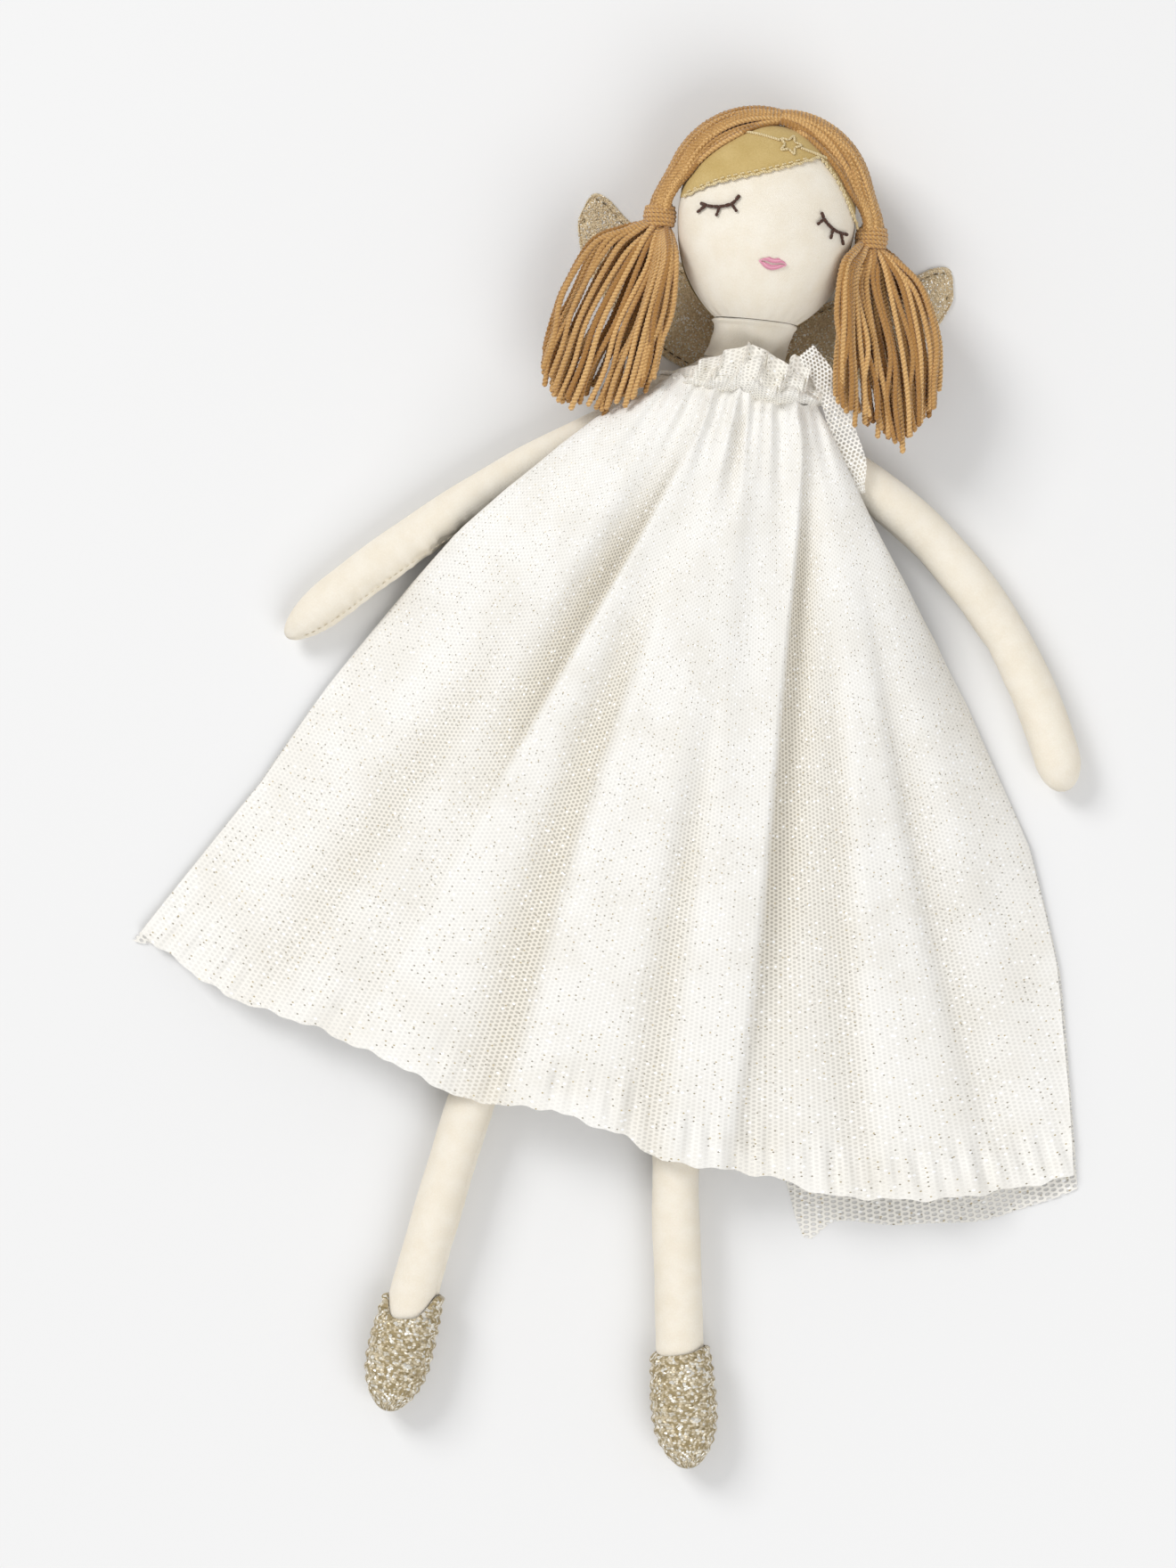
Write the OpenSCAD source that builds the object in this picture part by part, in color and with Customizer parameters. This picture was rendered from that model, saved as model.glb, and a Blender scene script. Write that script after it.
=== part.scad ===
// Stuffed cloth fairy doll lying on its back: sewn and stuffed head, body and limbs, yarn pigtails,
// padded wings and a gathered two-layer dress. Millimetres. +X is the viewer's right, +Y points to
// the head, +Z points up out of the chest, and z = 0 is the surface that the doll lies on.

/* [Head] */
// Width of the stuffed head across the cheeks
head_w = 64; // [56:1:74]
// Height of the head from the neck seam to the crown
head_h = 70; // [62:1:80]
// Depth of the stuffed head
head_d = 46; // [38:1:54]
// Width of the seam where the head meets the neck
chin_w = 30; // [24:1:36]
// Sideways tilt of the head in degrees
head_tilt = 6; // [0:1:10]
// Length of the neck from the body to the head seam
neck_len = 14; // [11:1:18]
// Width of the neck
neck_w = 30; // [24:1:33]
// Depth of the neck
neck_d = 19; // [15:1:21]

/* [Body] */
// Length of the body from the neck to the hip seam
torso_len = 135; // [120:1:150]
// Width of the body across the shoulders
shoulder_w = 66; // [60:1:72]
// Width of the body across the hips
hip_w = 66; // [58:1:72]
// Depth of the stuffed body
torso_d = 33; // [28:1:36]
// Length of the flat sewn strip that both legs are caught in
hip_seam_len = 4; // [3:0.5:8]

/* [Arms] */
// Length of each arm
arm_len = 149; // [130:1:165]
// Width of each arm
arm_w = 16.4; // [13:0.2:19]
// Depth of each arm
arm_d = 14.6; // [12:0.2:16]

/* [Legs and shoes] */
// Length of each leg with its shoe
leg_len = 256; // [235:1:280]
// Width of each leg
leg_w = 17; // [14:0.2:20]
// Depth of each leg
leg_d = 15.4; // [13:0.2:17]
// Distance between the two legs at the hip seam
leg_spacing = 28; // [25:1:34]
// Length of each shoe
shoe_len = 43; // [34:1:52]
// Thickness of the glitter cloth and padding of a shoe
shoe_t = 1.8; // [1:0.1:2.6]

/* [Hair] */
// Thickness of the yarn laid over the crown
crown_t = 7.6; // [5:0.2:10]
// Front-to-back width of the yarn laid over the crown
crown_d = 26; // [18:1:32]
// Diameter of the yarn wrapped round each pigtail
tie_dia = 11; // [9:0.5:14]
// Length of the wrapped tie
tie_len = 7; // [5:0.5:10]
// Length of each pigtail
pigtail_len = 54; // [46:1:60]
// Width of a pigtail where it fans out
pigtail_w = 34; // [28:1:38]
// Depth of a pigtail where it fans out
pigtail_d = 17; // [13:1:22]

/* [Wings] */
// Reach of each wing tip from the middle of the back
wing_reach = 69; // [60:1:78]
// Height of each wing tip above the middle of the back
wing_rise = 66; // [56:1:74]
// Thickness of each glitter panel
wing_skin_t = 0.7; // [0.4:0.1:1]
// Thickness of the wadding between the panels
wadding_t = 1.6; // [0.8:0.1:2]

/* [Dress] */
// Length of the dress front from the gathered neckline to the hem
dress_len = 268; // [240:1:290]
// Half of the angle that the skirt fans out to, in degrees
dress_fan = 29; // [26:0.5:31]
// How far the back hem shows below the front hem
back_drop = 9; // [2:0.5:14]
// Height of the neck frill
frill_h = 14; // [8:1:18]
// Thickness of a dress layer
dress_t = 0.4; // [0.3:0.1:0.8]
// Depth of the main folds
fold_depth = 3; // [1:0.5:4]

/* [Cloth] */
// Thickness of the cotton skin
skin_t = 0.8; // [0.5:0.1:1.2]
// Clearance between neighbouring pieces
clearance = 0.3; // [0.2:0.05:0.4]
// Thickness of raised embroidery
thread_t = 1.2; // [0.8:0.1:1.6]

/* [Hidden] */

cotton = "#efe9dc";
fleece = "#f7f5f0";
ochre = "#cdb577";
yarn = "#c49a58";
glitter = "#c0b193";
tulle = "#eeece6";
satin = "#f1eee4";
thread_brown = "#3a2418";
thread_pink = "#e08aa5";
thread_gold = "#d9c48f";

// Heights of the layers, from the surface up
wing_t = 2 * wing_skin_t + wadding_t;
back_tulle_z = 0;
back_lining_z = dress_t + clearance;
dress_back_top = 2 * dress_t + clearance;
torso_back_z = dress_back_top + 2 * clearance;

// Places along the body
neck_base_y = 20;
hip_y = neck_base_y - torso_len;
seam_y = hip_y - clearance;
leg_root_y = seam_y - hip_seam_len - clearance;
head_seam_y = neck_base_y + clearance + neck_len;
elastic_y = neck_base_y - 9;
elastic_r = 0.8;

// Head: centre on the widest line, with the height measured along its own tilted axis
head_wide = 0.52;
head_half = head_w / 2;
head_below = head_wide * head_h;
head_z = wing_t + clearance + head_d / 2;
head_x = -3;
head_y = head_seam_y + clearance + head_below;
chin_share = chin_w / head_w;
chin_span = head_wide / sqrt(1 - chin_share * chin_share);
crown_span = 1 - head_wide;

// Rings along a form, closer together towards rounded ends
limb_steps = [0.004, 0.014, 0.035, 0.08, 0.2, 0.36, 0.52, 0.68, 0.82, 0.92, 0.972, 0.993];
head_steps = [0, 0.07, 0.16, 0.28, 0.42, 0.56, 0.7, 0.82, 0.91, 0.965, 0.993];
torso_steps = [0, 0.05, 0.1, 0.17, 0.3, 0.5, 0.7, 0.85, 0.94, 1];
limb_sides = 12;
core_sides = 10;
torso_sides = 20;
head_columns = 14;

// Seats that the limbs and hair share
arm_half = arm_w / 2;
arm_root_y = -6;
arm_root_z = 15.5;
hand_z = arm_d / 2 + clearance;
leg_root_z = 14;
shoe_half_d = leg_d / 2 + clearance + shoe_t;
foot_z = shoe_half_d + clearance;
tie_z = head_z;
pigtail_end_z = torso_back_z + torso_d - 1;
tie_x = head_half + clearance + tie_dia / 2;

// Dress: a fan about a point above the head, with the front draped over the body and legs
fan_y = 72;
neckline_y = elastic_y - elastic_r - clearance;
neckline_r = fan_y - neckline_y;
hem_r = neckline_r + dress_len;
chest_z = torso_back_z + torso_d + clearance;
layer = dress_t + clearance;
fold_angles = [-27, -20, -12.5, -4, 2.6, 9.8, 16.5, 22, 27];
fold_weights = [0.7, 1.3, 1.8, 1.2, 1, 0.9, 1.9, 0.9, 1.2];
fold_width = 2.4;
left_flare = 3.6;
right_flare = 5;
left_hem_drop = 10;
right_hem_drop = 27;
left_fall_r = 142;
right_fall_r = 122;
edge_fall = 55;

// Helper functions
function ease(t) = let(u = min(1, max(0, t))) u * u * (3 - 2 * u);
function mix(a, b, t) = a + (b - a) * t;
function spin2(p, a) = [p[0] * cos(a) - p[1] * sin(a), p[0] * sin(a) + p[1] * cos(a)];
function end_round(d, span) = d >= span ? 1 : sqrt(max(0, 1 - pow(1 - d / span, 2)));

// Triangles of the wall between ring or row i and the next, over n points, closed or open
function wall_faces(first, rows, n, closed, flip) = [
    for (i = [0:rows - 2], j = [0:n - (closed ? 1 : 2)])
        let(
            a = first + i * n + j,
            b = first + i * n + (j + 1) % n,
            c = a + n,
            d = b + n
        )
        each flip ? [[a, b, c], [b, d, c]] : [[a, c, b], [b, c, d]]
];
function fan_faces(first, n, flip) = [
    for (j = [1:n - 2])
        flip ? [first, first + j + 1, first + j] : [first, first + j, first + j + 1]
];

// A closed solid through a list of rings
module loft(rings) {
    n = len(rings[0]);
    m = len(rings);
    polyhedron(
        [for (r = rings) each r],
        concat(
            wall_faces(0, m, n, true, false),
            fan_faces(0, n, false),
            fan_faces((m - 1) * n, n, true)
        )
    );
}

// A sewn skin, closed at its last ring and open at its first, between outer and inner rings
module cup(outer, inner) {
    n = len(outer[0]);
    m = len(outer);
    k = len(inner);
    base = m * n;
    rim = [
        for (j = [0:n - 1])
            let(a = j, b = (j + 1) % n)
            each [[a, b, base + a], [b, base + b, base + a]]
    ];
    polyhedron(
        concat([for (r = outer) each r], [for (r = inner) each r]),
        concat(
            wall_faces(0, m, n, true, false),
            fan_faces((m - 1) * n, n, true),
            wall_faces(base, k, n, true, true),
            fan_faces(base + (k - 1) * n, n, false),
            rim
        )
    );
}

// A cloth panel between an upper and a lower grid of points, with its four edges closed
module panel(upper, lower) {
    n = len(upper[0]);
    m = len(upper);
    base = m * n;
    last = (m - 1) * n;
    ends = [
        for (j = [0:n - 2])
            each [
                [j, j + 1, base + j], [j + 1, base + j + 1, base + j],
                [last + j, base + last + j, last + j + 1],
                [last + j + 1, base + last + j, base + last + j + 1]
            ]
    ];
    sides = [
        for (i = [0:m - 2])
            let(a = i * n, b = a + n - 1)
            each [
                [a, base + a, a + n], [a + n, base + a, base + a + n],
                [b, b + n, base + b], [b + n, base + b + n, base + b]
            ]
    ];
    polyhedron(
        concat([for (r = upper) each r], [for (r = lower) each r]),
        concat(
            wall_faces(0, m, n, false, false),
            wall_faces(base, m, n, false, true),
            ends,
            sides
        )
    );
}

// A limb is [x, y, root z, end z, heading, bend, length, half width, half depth, tip length]
function limb_point(limb, s) =
    let(
        t = s / limb[6],
        turn = limb[5] * t * PI / 180,
        chord = abs(turn) < 0.001 ? s : s * sin(limb[5] * t / 2) / (turn / 2),
        a = limb[4] + limb[5] * t / 2
    )
    [limb[0] + chord * cos(a), limb[1] + chord * sin(a), mix(limb[2], limb[3], ease(t))];
function limb_ring(limb, s, half_w, half_d, n) =
    let(c = limb_point(limb, s), a = limb[4] + limb[5] * s / limb[6] - 90)
    [
        for (j = [0:n - 1])
            let(q = j * 360 / n)
            c + [half_w * cos(q) * cos(a), half_w * cos(q) * sin(a), -half_d * sin(q)]
    ];
function limb_rings(limb, inset, steps, n) =
    let(len_in = limb[6] - 2 * inset, w = limb[7] - inset, d = limb[8] - inset)
    [
        for (u = steps)
            let(
                s = u * len_in,
                r = end_round(s, w) * end_round(len_in - s, limb[9])
            )
            limb_ring(limb, s + inset, w * r, d * r, n)
    ];

left_arm = [
    -shoulder_w / 2 - clearance, arm_root_y, arm_root_z, hand_z,
    215.5, 17, arm_len, arm_half, arm_d / 2, 26
];
right_arm = [
    shoulder_w / 2 - 1, arm_root_y, arm_root_z, hand_z,
    -16, -51, arm_len + 6, arm_half, arm_d / 2, 13
];
left_leg = [
    -leg_spacing / 2, leg_root_y, leg_root_z, foot_z,
    255, 15, leg_len - shoe_t - clearance, leg_w / 2, leg_d / 2, 20
];
right_leg = [
    leg_spacing / 2, leg_root_y, leg_root_z, foot_z,
    275, 12, leg_len - shoe_t - clearance, leg_w / 2, leg_d / 2, 20
];

module limb_skin(limb) {
    color(cotton)
        cup(
            limb_rings(limb, 0, limb_steps, limb_sides),
            limb_rings(limb, skin_t, limb_steps, limb_sides)
        );
}
module limb_stuffing(limb) {
    color(fleece) loft(limb_rings(limb, skin_t + clearance, limb_steps, core_sides));
}

// A shoe hugs the end of its leg, and is open at the ankle
shoe_swell = 1.2;
function shoe_rings(leg, offset, steps) = [
    for (u = steps)
        let(
            start = leg[6] - shoe_len + shoe_t,
            s = start + u * (shoe_len - shoe_t + offset),
            r = end_round(leg[6] + offset - s, leg[9]),
            swell = offset > clearance ? shoe_swell * sin(180 * u) : 0
        )
        limb_ring(leg, s, (leg[7] + offset + swell) * r, (leg[8] + offset) * r, limb_sides)
];
shoe_steps = [0, 0.2, 0.4, 0.6, 0.75, 0.88, 0.96, 0.992];
module shoe(leg) {
    color(glitter)
        cup(
            shoe_rings(leg, clearance + shoe_t, shoe_steps),
            shoe_rings(leg, clearance, shoe_steps)
        );
}

// Body: half width, half depth and middle height along its length, from the neck to the hip seam
function torso_half_w(t) =
    t < 0.11
        ? mix(neck_w / 2 + 1, shoulder_w / 2, ease(t / 0.11))
        : mix(shoulder_w / 2, hip_w / 2, t) - 4 * sin(180 * (t - 0.11) / 0.89);
function torso_half_d(t) =
    t < 0.25
        ? mix(neck_d / 2 + 1, torso_d / 2, ease(t / 0.25))
        : mix(torso_d / 2, hip_seam_h / 2 + 1, pow(max(0, t - 0.25) / 0.75, 3));
function torso_mid_z(t) =
    let(back = mix(wing_t + clearance, torso_back_z, ease((t - 0.06) / 0.06)))
    t < 0.5 ? back + torso_half_d(t) : mix(torso_back_z + torso_half_d(t), leg_root_z, ease(t * 2 - 1));
hip_seam_h = 8;
function torso_ring(t, inset, n) =
    let(w = torso_half_w(t) - inset, d = torso_half_d(t) - inset, z = torso_mid_z(t))
    [
        for (j = [0:n - 1])
            let(q = j * 360 / n)
            [w * cos(q), neck_base_y - t * torso_len, z + d * sin(q)]
    ];
function shifted(ring, dy) = [for (p = ring) p + [0, dy, 0]];
module torso_skin() {
    inner = [for (t = torso_steps) torso_ring(t, skin_t, torso_sides)];
    last = len(inner) - 1;
    color(cotton)
        cup(
            [for (t = torso_steps) torso_ring(t, 0, torso_sides)],
            [for (i = [0:last]) i == last ? shifted(inner[i], skin_t) : inner[i]]
        );
}
module torso_stuffing() {
    core = [for (t = torso_steps) torso_ring(t, skin_t + clearance, torso_sides)];
    last = len(core) - 1;
    color(fleece)
        loft([for (i = [0:last]) i == last ? shifted(core[i], skin_t + clearance) : core[i]]);
}
module hip_seam() {
    color(cotton)
        translate([-hip_w / 2 + 4, seam_y - hip_seam_len, leg_root_z - hip_seam_h / 2])
            cube([hip_w - 8, hip_seam_len, hip_seam_h]);
}

// Head in its own tilted frame: x across, y up the head from its widest line, z out of the face
function head_round(t) =
    let(q = t < head_wide ? (head_wide - t) / chin_span : (t - head_wide) / crown_span)
    sqrt(max(0, 1 - q * q));
function head_point(x, y, z) =
    let(p = spin2([x, y], head_tilt))
    [head_x + p[0], head_y + p[1], head_z + z];
function head_ring_point(t, q, grow) =
    let(r = head_round(t))
    head_point(
        (head_half * r + grow) * cos(q),
        t * head_h - head_below + (t > head_wide ? grow * (t - head_wide) / crown_span : 0),
        (head_d / 2 * r + grow) * sin(q)
    );
function head_front(x, y, grow) =
    let(
        r = head_round((y + head_below) / head_h),
        w = head_half * r + grow
    )
    (head_d / 2 * r + grow) * sqrt(max(0.02, 1 - x * x / (w * w)));
function head_grid(from, to, grow) = [
    for (t = head_steps)
        [for (j = [0:head_columns]) head_ring_point(t, mix(from, to, j / head_columns), grow)]
];
side_seam = 0.6;
module face_panel() {
    color(cotton)
        panel(head_grid(180 - side_seam, side_seam, 0), head_grid(180 - side_seam, side_seam, -skin_t));
}
module head_back_panel() {
    color(ochre)
        panel(head_grid(-side_seam, side_seam - 180, 0), head_grid(-side_seam, side_seam - 180, -skin_t));
}
module head_stuffing() {
    core = [
        for (t = [for (s = head_steps) if (s < 0.99) max(s, 0.02)])
            [for (j = [0:torso_sides - 1]) head_ring_point(t, -j * 360 / torso_sides, -skin_t - clearance)]
    ];
    color(fleece) loft(core);
}
module neck() {
    seam_z = head_z;
    rings = [
        for (t = [0, 0.25, 0.5, 0.75, 1])
            let(
                pinch = 1 - 0.08 * sin(180 * t),
                z = mix(torso_mid_z(0), seam_z, t),
                x = mix(0, head_point(0, -head_below, 0)[0], t),
                lean = head_tilt * t
            )
            [
                for (j = [0:torso_sides - 1])
                    let(q = j * 360 / torso_sides, w = neck_w / 2 * pinch * cos(q))
                    [
                        x + w * cos(lean),
                        neck_base_y + clearance + neck_len * t + w * sin(lean),
                        z - neck_d / 2 * pinch * sin(q)
                    ]
            ]
    ];
    color(cotton) loft(rings);
}

// Front of the hair: a cotton cap whose slanted hairline rises to one side
hairline = [[-30, 6], [-20, 10], [-4, 15], [8, 19.5], [16.5, 24], [24.5, 14.5], [33, 0.5]];
cap_t = 1;
cap_reach = 0.94;
cap_lift = 2 * clearance;
function cap_half(y) = head_half * head_round((y + head_below) / head_h);
function hairline_at(f, y, tries) =
    tries == 0 ? y : hairline_at(f, lookup(cap_reach * f * cap_half(y), hairline), tries - 1);
cap_top = (1 - head_wide) * head_h - 2;
function cap_grid(grow) = [
    for (i = [0:7])
        [
            for (j = [0:18])
                let(
                    f = j / 9 - 1,
                    y = mix(hairline_at(f, 10, 6), cap_top, ease(i / 7) * 0.5 + i / 14),
                    x = cap_reach * f * cap_half(y)
                )
                head_point(x, y, head_front(x, y, grow))
        ]
];
module hair_cap() {
    color(ochre) panel(cap_grid(cap_lift + cap_t), cap_grid(cap_lift));
}

// A thin raised thread through points on the face
function across(points, i) =
    let(
        a = points[max(0, i - 1)],
        b = points[min(len(points) - 1, i + 1)],
        d = [b[0] - a[0], b[1] - a[1]]
    )
    [-d[1], d[0]] / norm(d);
module thread(points, lift, dia) {
    seats = [for (p = points) head_point(p[0], p[1], head_front(p[0], p[1], lift + dia / 2))];
    loft([
        for (i = [0:len(seats) - 1])
            let(n = across(seats, i))
            [
                for (j = [0:5])
                    let(q = j * 60)
                    seats[i] + dia / 2 * [n[0] * cos(q), n[1] * cos(q), sin(q)]
            ]
    ]);
}
function bow(a, b, sag) = [
    for (i = [0:6])
        let(t = i / 6)
        [mix(a[0], b[0], t), mix(a[1], b[1], t) - sag * sin(180 * t)]
];
module eye_stitching(inner, outer, lashes) {
    color(thread_brown) {
        thread(bow(inner, outer, 2.2), clearance, thread_t);
        for (lash = lashes)
            thread(bow(lash[0], lash[1], 0.2), clearance, thread_t);
    }
}
module left_eye_stitching() {
    eye_stitching(
        [-24, 1.5], [-10.5, 4.5],
        [[[-21, -0.2], [-24.5, -3]], [[-17, -0.4], [-18, -4]], [[-13.4, 0.9], [-11, -1.6]]]
    );
}
module right_eye_stitching() {
    eye_stitching(
        [18.5, 4], [29, -2.5],
        [[[20.4, -0.4], [18, -2.6]], [[23.6, -2.6], [23.4, -6]], [[26.6, -3.7], [27.8, -7]]]
    );
}
module lips_stitching() {
    color(thread_pink) {
        thread(bow([-1, -15.6], [8, -16.6], 0.6), clearance, thread_t);
        thread(bow([0.4, -17.4], [6.6, -18], 1.2), clearance, thread_t);
    }
}

// Headband over the cap, with a small star sewn on it
band_lift = cap_lift + cap_t + clearance;
module headband_cord() {
    color(thread_gold) {
        thread(bow([-17.5, 27.5], [-2.4, 27.2], -0.8), band_lift, thread_t);
        thread(bow([7.4, 27], [17, 25.6], -0.2), band_lift, thread_t);
    }
}
star_x = 2.5;
star_y = 27.2;
star_r = 4.2;
star_t = 1.2;
module headband_star() {
    corners = [
        for (i = [0:9])
            let(r = i % 2 == 0 ? star_r : 0.5 * star_r)
            [r * sin(36 * i), r * cos(36 * i)]
    ];
    lean = 52;
    seat = head_point(star_x, star_y, head_front(star_x, star_y, band_lift + 0.7));
    color(thread_gold)
        translate(seat)
            rotate([-lean, 0, head_tilt])
                linear_extrude(star_t)
                    polygon(corners);
}

// Yarn laid over the rim of the head from the parting to a tie, bunched at both ends
function crown_rings(side) = [
    for (i = [0:10])
        let(
            u = i / 10,
            a = mix(87.5, 0, u),
            thick = crown_t / 2 * (0.72 + 0.28 * sin(180 * min(1, 0.15 + 0.85 * u))),
            deep = mix(crown_d / 2 * (0.55 + 0.45 * sin(180 * pow(u, 0.8))), tie_dia / 2, u * u),
            rim_x = head_half + clearance + thick,
            rim_y = crown_span * head_h + clearance + thick
        )
        [
            for (j = [0:11])
                let(q = side * j * 30, out = thick * cos(q))
                head_point(
                    side * (rim_x * cos(a) + out * cos(a)),
                    rim_y * sin(a) + out * sin(a),
                    deep * sin(q)
                )
        ]
];
module hair_crown(side) {
    color(yarn) loft(crown_rings(side));
}

// Pigtails hang from wrapped ties at the sides of the head
function tie_place(side) = head_point(side * tie_x, -tie_len / 2, 0);
module pigtail_tie(side) {
    bulge = 0.8;
    half = tie_len / 2 - clearance;
    color(yarn)
        translate(tie_place(side))
            rotate([90, 0, head_tilt])
                rotate_extrude()
                    polygon(concat(
                        [[0, -half]],
                        [for (i = [0:8]) let(a = i * 22.5 - 90)
                            [tie_dia / 2 - bulge + bulge * cos(a), half * sin(a)]],
                        [[0, half]]
                    ));
}
function pigtail_path(side) =
    let(
        heading = side < 0 ? 254 : 288,
        slant_gap = (tie_dia / 2 - 1) * abs(sin(heading - 270 - head_tilt)),
        root = head_point(side * tie_x, -tie_len - clearance - slant_gap, 0)
    )
    [
        root[0], root[1], tie_z, pigtail_end_z, heading, side < 0 ? 4 : -4,
        pigtail_len, tie_dia / 2, tie_dia / 2, 1
    ];
function pigtail_rings(side) =
    let(path = pigtail_path(side))
    [
        for (u = [0, 0.08, 0.2, 0.36, 0.54, 0.74, 0.9, 1])
            let(
                s = u * pigtail_len,
                w = mix(tie_dia / 2 - 1, pigtail_w / 2, ease(u * 1.5)),
                d = mix(tie_dia / 2 - 1, pigtail_d / 2, ease(u * 1.8)) * (u > 0.85 ? 0.9 : 1),
                ring = limb_ring(path, s, 1, 1, 24),
                c = limb_point(path, s)
            )
            [
                for (j = [0:23])
                    let(
                        flute = 1 - 0.09 * (j % 3 == 0 ? 1 : 0) * ease(u * 4),
                        p = ring[j] - c
                    )
                    c + [p[0] * w * flute, p[1] * w * flute, p[2] * d * flute]
            ]
    ];
module pigtail(side) {
    color(yarn) loft(pigtail_rings(side));
}

// Wings: leaf outlines made of two curves from the root to the tip
wing_root_x = 3;
wing_low_y = 12.5;
wing_high_y = 38;
wing_inset = 3;
function curve(a, b, c, d) = [
    for (i = [0:11])
        let(t = i / 12, s = 1 - t)
        s * s * s * a + 3 * s * s * t * b + 3 * s * t * t * c + t * t * t * d
];
function wing_outline(inset) =
    let(
        low = [wing_root_x + inset, wing_low_y + inset],
        high = [wing_root_x + inset, wing_high_y - inset],
        tip = [wing_reach - inset, wing_rise - inset * 0.8],
        out = wing_reach - inset,
        up = wing_rise + 4 - inset
    )
    concat(
        [low],
        curve(low, [0.45 * out, wing_low_y + inset], [0.96 * out, 0.5 * up], tip),
        curve(tip, [out, up + 2], [0.85 * out, up + 3], [0.74 * out, up - 7]),
        [[0.5 * out, up - 15]],
        [high]
    );
module wing_layer(side, z, t, inset) {
    translate([0, 0, z])
        mirror([side < 0 ? 1 : 0, 0, 0])
            linear_extrude(t)
                polygon(wing_outline(inset));
}
module wing_back_panel(side) {
    color(glitter) wing_layer(side, 0, wing_skin_t, 0);
}
module wing_wadding(side) {
    color(fleece) wing_layer(side, wing_skin_t, wadding_t, wing_inset);
}
module wing_front_panel(side) {
    color(glitter) wing_layer(side, wing_skin_t + wadding_t, wing_skin_t, 0);
}

// Dress front: height above the surface at distance r from the fan's point, at angle a
function fold_at(a) =
    let(
        near = [
            for (i = [0:len(fold_angles) - 1])
                fold_weights[i] * exp(-pow((a - fold_angles[i]) / fold_width, 2))
        ],
        total = near * [for (f = near) 1]
    )
    fold_depth * total;
function crest_z(r) =
    let(t = (r - neckline_r) / dress_len)
    chest_z + 3 * layer + fold_depth * ease(t * 5)
        - (chest_z + 3 * layer - leg_root_z - leg_d / 2 - 1) * ease((t - 0.4) / 0.7);
function edge_z(r, a) =
    mix(
        arm_root_z + arm_d / 2 + 3 * layer + 1,
        dress_back_top + 2 * layer,
        ease((r - (a < 0 ? left_fall_r : right_fall_r)) / edge_fall)
    );
function fan_at(r, a) = dress_fan + (a < 0 ? left_flare : right_flare) * sin(180 * min(1, max(0, (r - 100) / 240)));
function front_z(r, a) =
    let(
        inside = max(0, 1 - pow(a / fan_at(r, a), 2)),
        across_body = pow(inside, mix(0.42, 0.95, ease((r - 140) / 170)))
    )
    mix(edge_z(r, a), crest_z(r), across_body)
        - fold_at(a) * ease((r - neckline_r) / 90) * pow(inside, 0.42);
function front_hem(a) =
    hem_r + 2 * sin(a * 9) + (a > 0 ? right_hem_drop * ease(a / 27) : left_hem_drop * pow(a / dress_fan, 2));
front_columns = 24;
front_rows = 13;
function front_grid(drop, lift_hem) = [
    for (i = [0:front_rows])
        [
            for (j = [0:front_columns])
                let(
                    u = 2 * j / front_columns - 1,
                    a = u * fan_at(mix(neckline_r, hem_r, i / front_rows), u),
                    top = neckline_r / cos(a),
                    r = mix(top, front_hem(a), i / front_rows) - (i == front_rows ? lift_hem : 0)
                )
                [r * sin(a), fan_y - r * cos(a), front_z(r, a) - drop]
        ]
];
function flipped(grid) = [for (row = grid) [for (j = [len(row) - 1:-1:0]) row[j]]];
module front_layer(tint, drop, lift_hem) {
    color(tint)
        panel(flipped(front_grid(drop, lift_hem)), flipped(front_grid(drop + dress_t, lift_hem)));
}
lining_lift = 6;
module dress_front_tulle() {
    front_layer(tulle, 0, 0);
}
module dress_front_lining() {
    front_layer(satin, layer, lining_lift);
}

// Dress back: two flat layers on the surface, cut a little longer than the front
back_columns = 14;
back_rows = 6;
function back_grid(z, drop) = [
    for (i = [0:back_rows])
        [
            for (j = [back_columns:-1:0])
                let(
                    u = 2 * j / back_columns - 1,
                    a = u * fan_at(mix(neckline_r, hem_r, i / back_rows), u),
                    r = mix(neckline_r / cos(a), front_hem(a) + drop, i / back_rows)
                )
                [r * sin(a), fan_y - r * cos(a), z]
        ]
];
module back_layer(tint, z, drop) {
    color(tint) panel(back_grid(z + dress_t, drop), back_grid(z, drop));
}
module dress_back_lining() {
    back_layer(satin, back_lining_z, -lining_lift);
}
module dress_back_tulle() {
    back_layer(tulle, back_tulle_z, back_drop);
}

// Gathered frill that stands from the neckline towards the chin
frill_columns = 32;
frill_w = 48;
frill_pleats = 8;
function frill_grid(drop) = [
    for (i = [0:3])
        [
            for (j = [frill_columns:-1:0])
                let(
                    u = j / frill_columns,
                    v = i / 3,
                    x = (u - 0.5) * frill_w * (1 - 0.12 * v),
                    ripple = (0.5 + v) * cos(360 * frill_pleats * u),
                    side_fall = 10 * pow(2 * abs(u - 0.5), 2)
                )
                [
                    x,
                    fan_y - sqrt(pow(neckline_r - clearance, 2) - x * x) + frill_h * (1 - v),
                    front_z(neckline_r, 0) + 1 - side_fall + ripple - drop
                ]
        ]
];
module neck_frill() {
    color(tulle) panel(frill_grid(0), frill_grid(dress_t));
}

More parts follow.
